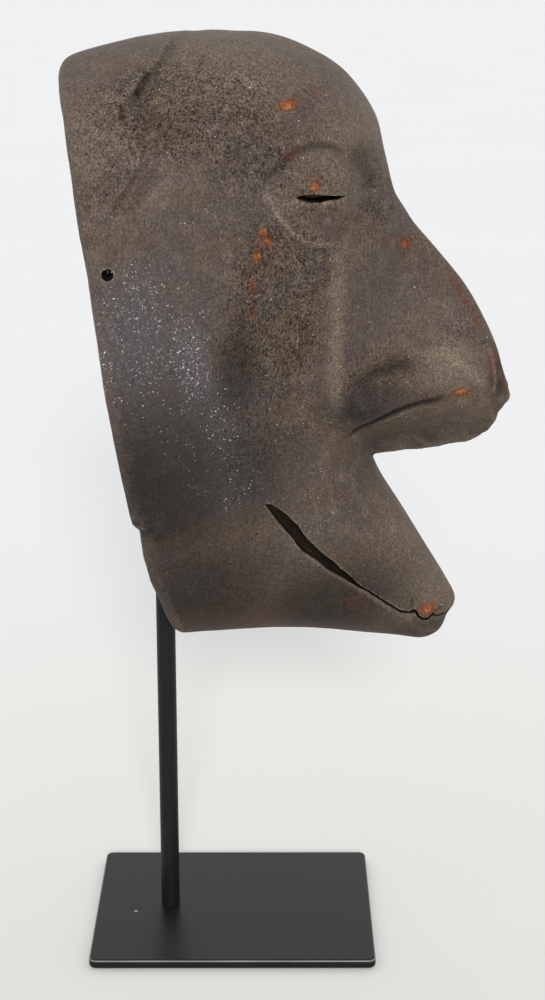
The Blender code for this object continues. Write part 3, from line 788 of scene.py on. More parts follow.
def mask_form(x, y, z):
    """The mask's form, and what it would be if it were solid, on a grid."""
    plan_x, plan_z = np.meshgrid(x, z, indexing="ij")
    spacing = x[1] - x[0]
    x3, y3, z3 = x[:, None, None], y[None, :, None], z[None, None, :]

    head = from_section(head_section(plan_x, plan_z), y3, spacing)
    nose = from_section(nose_section(plan_x, plan_z), y3, spacing)
    hollow = np.minimum(head + WALL, soft_cut(nose + NOSE_WALL, head - NOSE_WALL, WALL))

    wing = wing_form(x3, y3, z3)
    underside = underside_cut(x3, y3, z3)
    nose = soft_cut(soft_union(nose, wing, WING_FILL), underside, NOSE_UNDERSIDE_ROUND)
    nose = soft_union(nose, wing, WING_LIP_ROUND)
    relief = eye_relief(plan_x, plan_z) + band_relief(plan_x, plan_z)
    relief += fine_relief(plan_x, plan_z)
    fill = NOSE_FILL * level_share(z3, NOSTRIL_LEVEL, WING_LEVEL) + NOSE_UNDERSIDE_FILL
    outside = soft_union(head, nose, fill) - relief[:, None, :]
    outside = soft_cut(outside, -nostril_form(x3, y3, z3), WING_LIP_ROUND)
    outside = soft_cut(outside, rim_cut(x3, z3), RIM_ROUND)
    return soft_cut(outside, -hollow, RIM_ROUND / 2), outside


def sampling_grid(step):
    """Lines of x, y from the middle plane outwards, and z, with room round the mask."""
    room = 4 * step
    levels = [row[1] for row in HEAD_OUTLINE]
    low_x, low_z = in_place(min(row[0] for row in RIM_OUTLINE), min(levels))
    high_x, high_z = in_place(max(row[0] for row in NOSE_OUTLINE), max(levels))
    half_width = max(MASK_HALF_WIDTH, JAW_HALF_WIDTH, NOSE_HALF_WIDTH) + BAND_STEP
    return (
        np.arange(low_x - room, high_x + room, step),
        np.arange(step / 2, half_width + room, step),
        np.arange(low_z - room, high_z + room, step),
    )


def mirrored(form):
    """A form sampled on one side of the middle plane, with its mirror image."""
    return np.concatenate([form[:, ::-1], form], axis=1)


def skin(form, corner, cell):
    """Points and quads of a closed skin round the negative part of a sampled form.

    Each cell that the surface crosses gets one point, and each grid edge that it crosses
    gets a quad between the four cells round it.
    """
    cells = tuple(n - 1 for n in form.shape)
    total = np.zeros((*cells, 3))
    count = np.zeros(cells)
    crossed = []
    for axis in range(3):
        low = np.take(form, range(form.shape[axis] - 1), axis)
        high = np.take(form, range(1, form.shape[axis]), axis)
        at = np.argwhere((low < 0) != (high < 0))
        from_low, from_high = low[tuple(at.T)], high[tuple(at.T)]
        crossing = at.astype(float)
        crossing[:, axis] += from_low / (from_low - from_high)
        ring = []
        for back_first, back_second in ((1, 1), (0, 1), (0, 0), (1, 0)):
            cell_at = at.copy()
            cell_at[:, (axis + 1) % 3] -= back_first
            cell_at[:, (axis + 2) % 3] -= back_second
            ring.append(tuple(cell_at.T))
            np.add.at(total, ring[-1], crossing)
            np.add.at(count, ring[-1], 1)
        crossed.append((ring, from_low < 0))
    used = count > 0
    number = np.cumsum(used).reshape(cells) - 1
    points = total[used] / count[used][:, None] * cell + corner
    quads = []
    for ring, outward in crossed:
        quad = np.stack([number[cell_at] for cell_at in ring], axis=1)
        quads.append(np.where(outward[:, None], quad, quad[:, ::-1]))
    return points, np.vstack(quads)


def sampled_at(form, corner, step, points):
    """A form's values between its samples, at points on either side of the middle plane."""
    place = np.stack([points[:, 0], np.abs(points[:, 1]), points[:, 2]], axis=1)
    place = np.clip((place - corner) / step, 0, np.array(form.shape) - 1.001)
    low = place.astype(int)
    share = place - low
    value = np.zeros(len(points))
    for dx, dy, dz in np.ndindex(2, 2, 2):
        weight = np.ones(len(points))
        for axis, offset in enumerate((dx, dy, dz)):
            weight *= share[:, axis] if offset else 1 - share[:, axis]
        value += weight * form[low[:, 0] + dx, low[:, 1] + dy, low[:, 2] + dz]
    return value


# Objects and meshes

def new_object(name, mesh):
    obj = bpy.data.objects.new(name, mesh)
    bpy.context.scene.collection.objects.link(obj)
    return obj


def object_from_bmesh(name, work):
    mesh = bpy.data.meshes.new(name)
    work.to_mesh(mesh)
    work.free()
    return new_object(name, mesh)


def settle(obj):
    """Replace an object's mesh with what its modifiers make of it, and drop them."""
    bpy.context.view_layer.update()
    graph = bpy.context.evaluated_depsgraph_get()
    mesh = bpy.data.meshes.new_from_object(
        obj.evaluated_get(graph), preserve_all_data_layers=True, depsgraph=graph
    )
    obj.modifiers.clear()
    obj.data = mesh


def cylinder(name, diameter, start, end):
    start, end = Vector(start), Vector(end)
    turn = (end - start).to_track_quat("Z", "Y").to_matrix().to_4x4()
    work = bmesh.new()
    bmesh.ops.create_cone(
        work, cap_ends=True, segments=ROUND_SEGMENTS, radius1=diameter / 2, radius2=diameter / 2,
        depth=(end - start).length, matrix=Matrix.Translation((start + end) / 2) @ turn,
    )
    return object_from_bmesh(name, work)


def ring_points(middle, radius):
    """Points of a circle in the profile."""
    turns = np.linspace(0, 2 * math.pi, 40, endpoint=False)
    return [(middle[0] + radius * math.cos(a), middle[1] + radius * math.sin(a)) for a in turns]


def cross_cutter(name, outer, inner):
    """A cutter right across the mask, in slices, so that the cut walls have points for their
    painted shade.

    It has its outer outline at the mask's sides and its inner one in the hollow.
    """
    outer, inner = np.array(outer), np.array(inner)
    work = bmesh.new()
    rings = []
    for y in np.linspace(-CUTTER_REACH, CUTTER_REACH, WALL_SLICES + 1):
        share = smooth_step((MASK_HALF_WIDTH - abs(y) - WALL / 2) / WALL)
        outline = outer + (inner - outer) * share
        rings.append([work.verts.new((x, y, z)) for x, z in outline])
    for near, far in zip(rings, rings[1:]):
        for n in range(len(outer)):
            work.faces.new((near[n - 1], near[n], far[n], far[n - 1]))
    work.faces.new(rings[0])
    work.faces.new(rings[-1])
    bmesh.ops.recalc_face_normals(work, faces=work.faces)
    return object_from_bmesh(name, work)


def cut_all(obj, cutters):
    """Cut every cutter out of an object, then delete the cutters."""
    for cutter in cutters:
        modifier = obj.modifiers.new(cutter.name, "BOOLEAN")
        modifier.operation = "DIFFERENCE"
        modifier.solver = "MANIFOLD"
        modifier.object = cutter
        settle(obj)
        bpy.data.objects.remove(cutter)


def hand_over(obj, body, node):
    """Make a finished piece stand for its node of the solid model."""
    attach(obj, body)
    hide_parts(node)


# Node trees

class Signal:
    """A node's output that can stand in a Python sum: each operator adds its node."""

    def __init__(self, graph, socket):
        self.graph = graph
        self.socket = socket

    def worked(self, operation, *values):
        vector = any(isinstance(v, Signal) and v.socket.type != "VALUE" for v in values)
        kind = "ShaderNodeVectorMath" if vector else "ShaderNodeMath"
        return self.graph.node(kind, {"operation": operation}, dict(enumerate(values)))

    def __add__(self, other):
        return self.worked("ADD", self, other)

    def __radd__(self, other):
        return self.worked("ADD", other, self)

    def __sub__(self, other):
        return self.worked("SUBTRACT", self, other)

    def __rsub__(self, other):
        return self.worked("SUBTRACT", other, self)

    def __mul__(self, other):
        return self.worked("MULTIPLY", self, other)

    def __rmul__(self, other):
        return self.worked("MULTIPLY", other, self)

    def __truediv__(self, other):
        return self.worked("DIVIDE", self, other)

    def __rtruediv__(self, other):
        return self.worked("DIVIDE", other, self)

    def part(self, axis):
        """One of a vector's three numbers."""
        return self.graph.node("ShaderNodeSeparateXYZ", None, {"Vector": self}, out=axis)

    def measured(self, operation, other=(0, 0, 0)):
        """A number that a vector operation gives."""
        settings = {"operation": operation}
        return self.graph.node("ShaderNodeVectorMath", settings, {0: self, 1: other}, out="Value")

    def higher(self, other):
        """Whichever of two values is higher."""
        return self.worked("MAXIMUM", self, other)

    def limited(self, low, high):
        """The value kept between two numbers."""
        return self.worked("MINIMUM", self.higher(low), high)

    def rising(self, low, high):
        """0 below low, 1 above high, and smooth between; the other way round if high < low."""
        settings = {"interpolation_type": "SMOOTHSTEP"}
        ends = (low, high, 0, 1) if low < high else (high, low, 1, 0)
        return self.graph.node("ShaderNodeMapRange", settings, dict(enumerate((self, *ends))))


class Graph:
    """A node tree being built."""

    def __init__(self, tree):
        self.tree = tree

    def node(self, kind, settings=None, inputs=None, out=0):
        """Add a node: its settings come first, then the values or links of its inputs."""
        made = self.tree.nodes.new(kind)
        made.location = (220 * (len(self.tree.nodes) % 12), -260 * (len(self.tree.nodes) // 12))
        for name, value in (settings or {}).items():
            setattr(made, name, value)
        for name, value in (inputs or {}).items():
            self.feed(made.inputs[name], value)
        return Signal(self, made.outputs[out]) if made.outputs else None

    def feed(self, socket, value):
        """Link a signal to a socket, or set the socket's own value."""
        if isinstance(value, Signal):
            self.tree.links.new(value.socket, socket)
        elif socket.type in {"VECTOR", "RGBA"}:
            wide = value if hasattr(value, "__len__") else (value,) * 3
            length = len(socket.default_value)
            socket.default_value = (*wide, 1)[:length]
        else:
            socket.default_value = value

    def mix(self, share, first, second):
        """A colour between two colours."""
        settings = {"data_type": "RGBA"}
        return self.node("ShaderNodeMix", settings, {0: share, 6: first, 7: second}, out=2)

    def noise(self, place, size, detail=2.0, roughness=0.5):
        """Cloudy noise from 0 to 1, whose patches are about the given size."""
        inputs = {"Vector": place, "Scale": 1 / size, "Detail": detail, "Roughness": roughness}
        return self.node("ShaderNodeTexNoise", None, inputs)

    def cells(self, place, size):
        """How far each point is from the middle of its scattered cell, in cell sizes."""
        return self.node("ShaderNodeTexVoronoi", None, {"Vector": place, "Scale": 1 / size})

    def painted(self, name):
        """A value stored on the mesh's points."""
        return self.node("ShaderNodeAttribute", {"attribute_name": name}, None, out="Fac")


def new_material(name):
    """A material, its graph and the place of each point on the object."""
    material = bpy.data.materials.new(name)
    material.use_nodes = True
    graph = Graph(material.node_tree)
    return material, graph, graph.node("ShaderNodeTexCoord", out="Object")


def set_shader(material, graph, constants, **signals):
    """Set the shader's own sockets, and link what changes over the surface."""
    shader = material.node_tree.nodes["Principled BSDF"]
    for name, value in constants.items():
        graph.feed(shader.inputs[name], value)
    for name, signal in signals.items():
        graph.feed(shader.inputs[name.replace("_", " ")], signal)


def bumped(graph, height_in_mm):
    """A normal that a height gives, without moving the surface."""
    return graph.node(
        "ShaderNodeBump", None, {"Strength": 1.0, "Distance": 0.001, "Height": height_in_mm},
        out="Normal",
    )


# Materials

def open_pores(graph, place, pitted):
    """Short upright pores in clusters, with hair cracks between them."""
    clusters = graph.noise(place, 0.0050, detail=3, roughness=0.65)
    field = graph.noise(place * (1.0, 1.0, 0.42) + 1.0, 0.00105, detail=2, roughness=0.6)
    open_share = 0.26 + 0.145 * pitted * clusters.rising(0.25, 0.60)
    pores = (open_share - field).rising(0.0, 0.018) * pitted.rising(0.05, 0.4)
    wander = graph.noise(place * (1.0, 1.0, 0.7) + 2.0, 0.0016, detail=2, roughness=0.6) - 0.5
    cracks = (wander * wander).rising(0.0009, 0.0002) * (clusters * pitted).rising(0.38, 0.52)
    return (pores + 0.8 * cracks).limited(0, 1)


def fine_glints(graph, place, glazed, sheen, soot):
    """Painted highlights: short bright threads crowded on the glaze, and a few stray specks off
    the dark patina and shade.
    """
    thread = graph.noise(place + 4.0, 0.0012, detail=2, roughness=0.6) - 0.5
    bunches = graph.noise(place + 5.0, 0.0060, detail=4, roughness=0.75).rising(0.40, 0.62)
    crowd = (0.55 * bunches * glazed.rising(0.25, 0.75) + 0.45 * sheen) * (1 - 0.75 * soot)
    sparks = (graph.noise(place + 8.0, 0.0011, detail=1) - 0.70 + 0.17 * crowd).rising(0.0, 0.03)
    glints = (thread * thread).rising(0.0011, 0.0003) * sparks * crowd.rising(0.0, 0.15)
    sparse = graph.noise(place + 6.0, 0.0045, detail=2)
    specks = graph.noise(place + 7.0, 0.00085, detail=1).rising(0.73, 0.79)
    strays = specks * sparse.rising(0.48, 0.60) * (1 - soot)
    return (glints + strays).limited(0, 1)


def patinated_wood(look):
    """Old dark wood: cloudy patina, open pores, glaze, dark patina, worn edges and bare chips,
    with painted shade, sheen, glints and light.
    """
    material, graph, place = new_material("patinated wood")
    clouds = graph.noise(place, 0.045, detail=3)
    tints = graph.noise(place + 3.0, 0.026, detail=3, roughness=0.6)
    mottle = graph.noise(place, 0.0080, detail=4, roughness=0.62)
    grain = graph.noise(place * (1.0, 1.0, 0.12), 0.0010, detail=2).rising(0.28, 0.72)
    grit = graph.noise(place, 0.0011, detail=3, roughness=0.72).rising(0.30, 0.70)
    ragged = graph.noise(place, 0.0030, detail=4, roughness=0.72)
    flecks = graph.noise(place, 0.0016, detail=3)

    pitted = graph.painted("pitted")
    pores = open_pores(graph, place, pitted)
    glazed = (graph.painted("glazed") * (0.35 + 1.3 * clouds)).limited(0, 1)
    sheen = graph.painted("sheen")
    soot = (graph.painted("soot") * (0.55 + 0.9 * mottle)).limited(0, 1)
    dusty = (graph.painted("dusty") * (0.45 + 1.1 * mottle)).limited(0, 1)
    # Proud edges, lightened with the rubbed lines, partly as painted highlight
    worn = graph.painted("worn") * 0.6
    rubbed = (graph.painted("rubbed").higher(worn) * (0.6 + 0.8 * mottle)).limited(0, 1)
    rust = (graph.painted("rust") + 1.5 * (ragged - 0.5)).rising(0.20, 0.95)
    bare = (graph.painted("bare") + 1.3 * (ragged - 0.5)).rising(0.30, 0.62)
    core = (graph.painted("bare") * 1.6 - 0.9 + 2.2 * (flecks - 0.5)).rising(0.0, 0.8)
    glints = fine_glints(graph, place, glazed, sheen, soot)
    hollow = graph.painted("hollow")

    body = graph.mix(tints.rising(0.40, 0.62) * 0.75, look.brown, look.plum)
    body = graph.mix(mottle.rising(0.42, 0.70) * 0.45, body, look.dusty)
    # Greyed patina, partly painted light on the upper faces
    body = graph.mix(dusty * 0.85, body, look.dusty)
    # Glazed patina, its tone partly painted sheen
    body = graph.mix(glazed * 0.75, body, look.glazed)
    # Painted sheen: the bluish highlight on the glaze
    body = graph.mix(sheen * (0.3 + 0.5 * grit), body, look.sheen)
    # Dark patina, and painted shade in grooves, cracks, under the nose and on its wings
    body = graph.mix(soot * 0.92, body, look.soot)
    # Rubbed edges, partly painted highlight along lit rims and ridges
    body = graph.mix(rubbed * 0.70, body, look.rubbed)
    body = graph.mix(rust * 0.80, body, look.rust)
    speckle = (grit - 0.5) * (0.72 + 0.66 * pitted)
    body = body * (1.0 + speckle + 0.18 * (grain - 0.5))
    body = graph.mix(pores * 0.88, body, look.pit_and_shade)
    fresh = graph.mix(core, look.rust * 1.5, look.bare)
    body = graph.mix(bare * 0.85, body, fresh * (0.45 + 0.8 * grit))
    # Painted highlights: glint threads and specks
    body = graph.mix(glints * 0.90, body, look.glint)
    body = graph.mix(hollow * 0.95, body, graph.mix(grain, look.hollow, look.brown))
    # Painted shade: the nostril slots and the cut walls of slits and holes, as dark as a pit
    body = graph.mix(graph.painted("black") * 0.95, body, look.pit_and_shade)

    roughness = look.roughness + (look.glazed_roughness - look.roughness) * glazed
    roughness = roughness + 0.20 * (grit - 0.5) + 0.15 * hollow - 0.2 * glints
    height = 0.30 * mottle + 0.04 * grain + 0.26 * grit - 0.40 * pores - 0.25 * bare
    constants = {"Specular IOR Level": 0.14, "Coat Roughness": 0.25}
    set_shader(
        material, graph, constants, Base_Color=body, Roughness=roughness,
        Coat_Weight=0.30 * glazed, Normal=bumped(graph, height + 0.10 * glints),
    )
    return material


def satin_paint(look):
    """Satin black paint with fine dust, the texture of a sprayed coat and a painted highlight on
    the plate's upper edge.
    """
    material, graph, place = new_material("satin black paint")
    clouds = graph.noise(place, 0.035, detail=3)
    orange_peel = graph.noise(place, 0.0011, detail=2)
    dust = graph.noise(place, 0.0022, detail=4, roughness=0.7).rising(0.58, 0.80)
    body = graph.mix(dust * 0.35 + clouds * 0.12, look.paint, look.dust)
    from_speck = place.measured("DISTANCE", SPECK)
    body = graph.mix(from_speck.rising(0.0012, 0.0006), body, look.speck)
    # Painted highlight: a band along the plate's upper edge
    below_top = PLATE_HIGH.z - place.part("Z")
    edge = below_top.rising(0.0002, 0.0004) * below_top.rising(0.0011, 0.0008)
    body = graph.mix(edge * (0.25 + clouds), body, look.edge_highlight)
    roughness = look.paint_roughness + 0.10 * clouds + 0.12 * dust
    set_shader(
        material, graph, {"Specular IOR Level": 0.16}, Base_Color=body, Roughness=roughness,
        Normal=bumped(graph, 0.020 * orange_peel),
    )
    return material


def bare_steel(look):
    """Drawn steel wire with faint rings, a little tarnish and its ends painted dark as shade in
    the cord holes.
    """
    material, graph, place = new_material("bare steel wire")
    tarnish = graph.noise(place, 0.004, detail=3).rising(0.4, 0.7)
    drawn = graph.noise(place * (1.0, 0.05, 1.0), 0.0004, detail=2)
    across = place.part("Y")
    # Painted shade: the ends that sit in the cord holes
    ends = (across * across).rising(0.0062, 0.0072)
    body = graph.mix((tarnish * 0.4).higher(ends), look.steel, look.tarnish)
    set_shader(
        material, graph, {"Metallic": 1.0}, Base_Color=body,
        Roughness=0.26 + 0.16 * tarnish + 0.2 * ends, Normal=bumped(graph, 0.02 * drawn),
    )
    return material


def paper_floor(look):
    """Pale paper with hardly any texture, painted lighter further from the stand as painted light.
    """
    material, graph, place = new_material("pale paper floor")
    clouds = 0.985 + 0.03 * graph.noise(place, 0.4, detail=2)
    # Painted light: lighter further from the stand
    far = place.measured("LENGTH").rising(0.1, 0.9)
    body = graph.mix(far, look.floor, look.distance) * clouds
    set_shader(material, graph, {"Roughness": 0.9, "Specular IOR Level": 0.1}, Base_Color=body)
    return material


def studio_sky(look):
    """Even light all round, stronger behind the mask than behind the camera."""
    world = bpy.data.worlds.new("even light")
    world.use_nodes = True
    graph = Graph(world.node_tree)
    behind = graph.node("ShaderNodeTexCoord", out="Generated").part("Y").rising(-0.7, 0.7)
    background = world.node_tree.nodes["Background"]
    graph.feed(background.inputs["Color"], (0.98, 0.99, 1.0))
    graph.feed(
        background.inputs["Strength"],
        look.sky_before + (look.sky_behind - look.sky_before) * behind,
    )
    return world


# The mask

def zone_values(points, rows, side=0):
    """Soft patches on the mask's points: on both sides, or on the given side alone."""
    forward = (points[:, 0] - CHIN_REAR_X) / MASK_HEIGHT
    up = (points[:, 2] - CHIN_HEIGHT) / MASK_HEIGHT
    value = np.zeros(len(points))
    for row_forward, row_up, reach_forward, reach_up, strength in rows:
        away = np.hypot((forward - row_forward) / reach_forward, (up - row_up) / reach_up)
        value = np.maximum(value, strength * smooth_step(1.15 - away))
    return np.where(side * points[:, 1] < 0, 0, value) if side else value


def line_values(points, rows):
    """Soft lines on the mask's points, on both sides."""
    value = np.zeros(len(points))
    for line, width, strength in rows:
        value = np.maximum(value, strength * along_line(points[:, 0], points[:, 2], line, width))
    return value


def past_edge(depth):
    """0 on the uncut surface, and 1 on a cut wall or in the hollow."""
    return smooth_step((depth - CUT_EDGE) / CUT_EDGE)


def store_patina(mesh, form, solid, corner, step):
    """Keep on each point of the mesh how bare, reddish, pitted and so on the wood is there, and
    where shade and highlights are painted.
    """
    points = np.empty(3 * len(mesh.vertices), "f")
    mesh.vertices.foreach_get("co", points)
    points = points.reshape(-1, 3)
    hollow = past_edge(-sampled_at(solid, corner, step, points))
    # Cut walls, which get painted shade
    cut_wall = past_edge(-sampled_at(form, corner, step, points))
    outside = 1 - hollow
    bare = zone_values(points, BARE_MARKS, NEAR_SIDE)
    bare = np.maximum(bare, zone_values(points, FAR_SIDE_MARKS, -NEAR_SIDE))
    rust = line_values(points, RUST_LINES) * (points[:, 1] * NEAR_SIDE > 0)
    rust = np.maximum(rust, zone_values(points, RUST_MARKS, NEAR_SIDE))
    painted = {
        "bare": bare * outside,
        "rust": rust * outside,
        "pitted": (PITTED_ANYWHERE + zone_values(points, PITTED_ZONES)).clip(0, 1),
        "glazed": zone_values(points, GLAZED_ZONES) * outside,
        # Dark patina, and painted shade in grooves and under the nose
        "soot": np.maximum(zone_values(points, SOOT_AND_SHADE_ZONES), line_values(points, GROOVE_SHADE_LINES)),
        # Greyed patina, and painted light on the upper faces
        "dusty": zone_values(points, DUSTY_AND_LIT_ZONES) * outside,
        # Painted sheen and the painted gleam on the nostril wing
        "sheen": zone_values(points, SHEEN_ZONES) + line_values(points, SHEEN_LINES),
        # Rubbed lines, partly painted highlight along lit rims and ridges
        "rubbed": line_values(points, RUBBED_AND_HIGHLIT_LINES) * outside,
        # Painted shade in the nostril slots and on the cut walls
        "black": np.maximum(line_values(points, SLOT_SHADE_LINES) * outside, cut_wall),
        "crusted": zone_values(points, CRUSTED_ZONES),
        "hollow": hollow,
    }
    for name, values in painted.items():
        mesh.attributes.new(name, "FLOAT", "POINT").data.foreach_set("value", values.astype("f"))


# The carving nodes' own inputs, which the settings of the same names are given to
CARVING_INPUTS = (
    "Mark length", "Mark depth", "Pore length", "Pore depth", "Chip depth", "Gouge depth",
)


def carving_tree():
    """Nodes that press tool marks, pores and chips into a surface, and find its proud edges,
    lightened as wear and painted highlight.
    """
    tree = bpy.data.node_groups.new("carved surface", "GeometryNodeTree")
    tree.interface.new_socket("Geometry", in_out="INPUT", socket_type="NodeSocketGeometry")
    for name in CARVING_INPUTS:
        tree.interface.new_socket(name, in_out="INPUT", socket_type="NodeSocketFloat")
    tree.interface.new_socket("Material", in_out="INPUT", socket_type="NodeSocketMaterial")
    tree.interface.new_socket("Geometry", in_out="OUTPUT", socket_type="NodeSocketGeometry")

    graph = Graph(tree)
    given = tree.nodes.new("NodeGroupInput").outputs
    size = {name: Signal(graph, given[name]) for name in given.keys() if name}
    place = graph.node("GeometryNodeInputPosition")
    normal = graph.node("GeometryNodeInputNormal")

    def stored(name):
        return graph.node("GeometryNodeInputNamedAttribute", None, {"Name": name})

    marks = graph.noise(place * (1.0, 1.0, 0.6), size["Mark length"], detail=1.5)
    pores = graph.cells(place * (1.0, 1.0, 0.45), size["Pore length"])
    shards = graph.cells(place, 0.0065)
    gouges = graph.cells(place * (1.0, 1.0, 0.5), 0.011)
    ragged = graph.noise(place, 0.0042, detail=3, roughness=0.65)
    bare = (stored("bare") + 0.8 * (ragged - 0.5)).rising(0.42, 0.56)
    sunk = (
        size["Mark depth"] * (marks - 0.5)
        - size["Pore depth"] * stored("pitted") * pores.rising(0.42, 0.10)
        - size["Chip depth"] * (0.6 * bare + 2.2 * stored("crusted") * (shards - 0.25))
        + size["Gouge depth"] * stored("hollow") * (gouges - 0.5)
    )
    moved = graph.node(
        "GeometryNodeSetPosition", None, {"Geometry": size["Geometry"], "Offset": normal * sunk}
    )
    smoothed = graph.node(
        "GeometryNodeBlurAttribute", {"data_type": "FLOAT_VECTOR"},
        {"Value": place, "Iterations": 7, "Weight": 1.0},
    )
    proud = (place - smoothed).measured("DOT_PRODUCT", normal)
    kept = graph.node(
        "GeometryNodeStoreNamedAttribute", {"data_type": "FLOAT", "domain": "POINT"},
        {"Geometry": moved, "Name": "worn", "Value": proud.rising(0.00010, 0.00055)},
    )
    real = graph.node("GeometryNodeRealizeInstances", None, {"Geometry": kept})
    dressed = graph.node(
        "GeometryNodeSetMaterial", None, {"Geometry": real, "Material": size["Material"]}
    )
    graph.feed(tree.nodes.new("NodeGroupOutput").inputs["Geometry"], dressed)
    return tree


def press_carving(mask, sizes, material):
    """Run the carving nodes on the mask, and keep the result as a plain mesh."""
    modifier = mask.modifiers.new("carved surface", "NODES")
    modifier.node_group = carving_tree()
    values = {name: getattr(sizes, name.lower().replace(" ", "_")) for name in CARVING_INPUTS}
    values["Material"] = material
    for item in modifier.node_group.interface.items_tree:
        if item.name in values:
            modifier[item.identifier] = values[item.name]
    settle(mask)


def mask_cutters():
    """The slits of the eyes and the mouth, the cord holes and room for the rod."""
    hole_x, hole_z = in_place(*CORD_HOLE)
    hole = ring_points((hole_x, hole_z), (WIRE_DIAMETER + WIRE_PLAY_IN_HOLE) / 2)
    wire_z = (WIRE_LOW.z + WIRE_HIGH.z) / 2
    round_wire = ring_points((hole_x, wire_z), WIRE_DIAMETER / 2 + TOUCH_GAP)
    eye = [in_place(*point) for point in EYE_SLIT]
    mouth = [in_place(*point) for point in MOUTH_SLIT]
    rod_x = (ROD_LOW.x + ROD_HIGH.x) / 2
    clear_of_rod = ROD_HIGH.x - ROD_LOW.x + 2 * TOUCH_GAP
    return [
        cross_cutter("eye slits", eye, eye),
        cross_cutter("mouth slit", mouth, mouth),
        cross_cutter("cord holes", hole, round_wire),
        cylinder("room for the rod", clear_of_rod, (rod_x, 0, 0), (rod_x, 0, hole_z)),
    ]


class MASK_OT_carve(bpy.types.Operator):
    """Carve the mask from its profile and give it its patina"""

    bl_idname = "display_mask.carve"
    bl_label = "Carve the mask"

    def execute(self, context):
        sizes = context.scene.mask_carving
        x, y, z = sampling_grid(sizes.step)
        form, solid = mask_form(x, y, z)
        points, quads = skin(mirrored(form), np.array([x[0], -y[-1], z[0]]), sizes.step)
        mesh = bpy.data.meshes.new("carved_mask")
        mesh.from_pydata(points.tolist(), [], quads.tolist())
        mask = new_object("carved_mask", mesh)
        thin = mask.modifiers.new("thin", "DECIMATE")
        thin.ratio = min(1, sizes.triangles / (2 * len(quads)))
        settle(mask)
        cut_all(mask, mask_cutters())
        store_patina(mask.data, form, solid, np.array([x[0], y[0], z[0]]), sizes.step)
        press_carving(mask, sizes, patinated_wood(context.scene.mask_patina))
        mask.data.shade_smooth()
        mask.data.set_sharp_from_angle(angle=SHARP_ANGLE)
        hand_over(mask, "root", "mask")
        return {"FINISHED"}


# The stand

def rounded(obj, radius, segments, material):
    """Round an object's edges, keep its flats flat to the eye and give it its paint."""
    bevel = obj.modifiers.new("rounded edges", "BEVEL")
    bevel.width = radius
    bevel.segments = segments
    bevel.limit_method = "ANGLE"
    bevel.angle_limit = SHARP_ANGLE
    obj.data.shade_smooth()
    obj.modifiers.new("flat faces", "WEIGHTED_NORMAL").keep_sharp = True
    settle(obj)
    obj.data.materials.append(material)


class MASK_OT_plate(bpy.types.Operator):
    """Make the stand's base plate"""

    bl_idname = "display_mask.plate"
    bl_label = "Make the base plate"

    def execute(self, context):
        look = context.scene.mask_stand
        size = PLATE_HIGH - PLATE_LOW
        work = bmesh.new()
        bmesh.ops.create_cube(work, size=1)
        bmesh.ops.scale(work, vec=size, verts=work.verts)
        bmesh.ops.translate(work, vec=(PLATE_LOW + PLATE_HIGH) / 2, verts=work.verts)
        upright = [
            e for e in work.edges if (e.verts[0].co - e.verts[1].co).xy.length < TOUCH_GAP
        ]
        bmesh.ops.bevel(
            work, geom=upright, offset=PLATE_CORNER_RADIUS, segments=PLATE_CORNER_SEGMENTS,
            affect="EDGES", profile=0.5,
        )
        plate = object_from_bmesh("painted_plate", work)
        rounded(plate, look.edge_round, 5, satin_paint(look))
        hand_over(plate, "root", "base_plate")
        return {"FINISHED"}


class MASK_OT_rod(bpy.types.Operator):
    """Make the stand's rod, down to the plate it is brazed to"""

    bl_idname = "display_mask.rod"
    bl_label = "Make the rod"

    def execute(self, context):
        look = context.scene.mask_stand
        x, y, _ = (ROD_LOW + ROD_HIGH) / 2
        foot, top = (x, y, PLATE_HIGH.z - ROD_TIP_ROUND), (x, y, ROD_HIGH.z)
        rod = cylinder("painted_rod", ROD_HIGH.x - ROD_LOW.x, foot, top)
        paint = bpy.data.materials.get("satin black paint") or satin_paint(look)
        rounded(rod, ROD_TIP_ROUND, 4, paint)
        hand_over(rod, "root", "stand_rod")
        return {"FINISHED"}


def bent_wire():
    """The wire's curve: level, behind the rod, and out through the cord holes to domed ends."""
    outer = WIRE_HIGH.y
    hole_x = in_place(*CORD_HOLE)[0]
    behind_rod = ROD_LOW.x - WIRE_DIAMETER / 2 - TOUCH_GAP
    height = (WIRE_LOW.z + WIRE_HIGH.z) / 2
    straight_from = outer - WALL - WIRE_CLEAR_OF_WALL
    dome = WIRE_DIAMETER / 2 * (1 - np.cos(np.linspace(0.2, math.pi / 2, 6)))
    span = outer - WIRE_DOME_ROOM
    across = np.concatenate([dome - outer, np.linspace(-span, span, 61), outer - dome[::-1]])
    curve = bpy.data.curves.new("cross_wire", "CURVE")
    curve.dimensions = "3D"
    curve.bevel_depth = WIRE_DIAMETER / 2
    curve.bevel_resolution = 6
    curve.use_fill_caps = True
    spline = curve.splines.new("POLY")
    spline.points.add(len(across) - 1)
    for point, y in zip(spline.points, across):
        forward = smooth_step(abs(y) / straight_from)
        point.co = (behind_rod + (hole_x - behind_rod) * forward, y, height, 1)
        in_dome = max(0, 1 - (outer - abs(y)) / (WIRE_DIAMETER / 2))
        point.radius = math.sqrt(1 - in_dome**2)
    return curve


def closed_mesh(curve):
    """A curve's mesh, with its caps joined on."""
    obj = new_object(curve.name, curve)
    bpy.context.view_layer.update()
    graph = bpy.context.evaluated_depsgraph_get()
    mesh = bpy.data.meshes.new_from_object(obj.evaluated_get(graph))
    bpy.data.objects.remove(obj)
    work = bmesh.new()
    work.from_mesh(mesh)
    bmesh.ops.remove_doubles(work, verts=work.verts, dist=1e-6)
    bmesh.ops.recalc_face_normals(work, faces=work.faces)
    work.to_mesh(mesh)
    work.free()
    return mesh


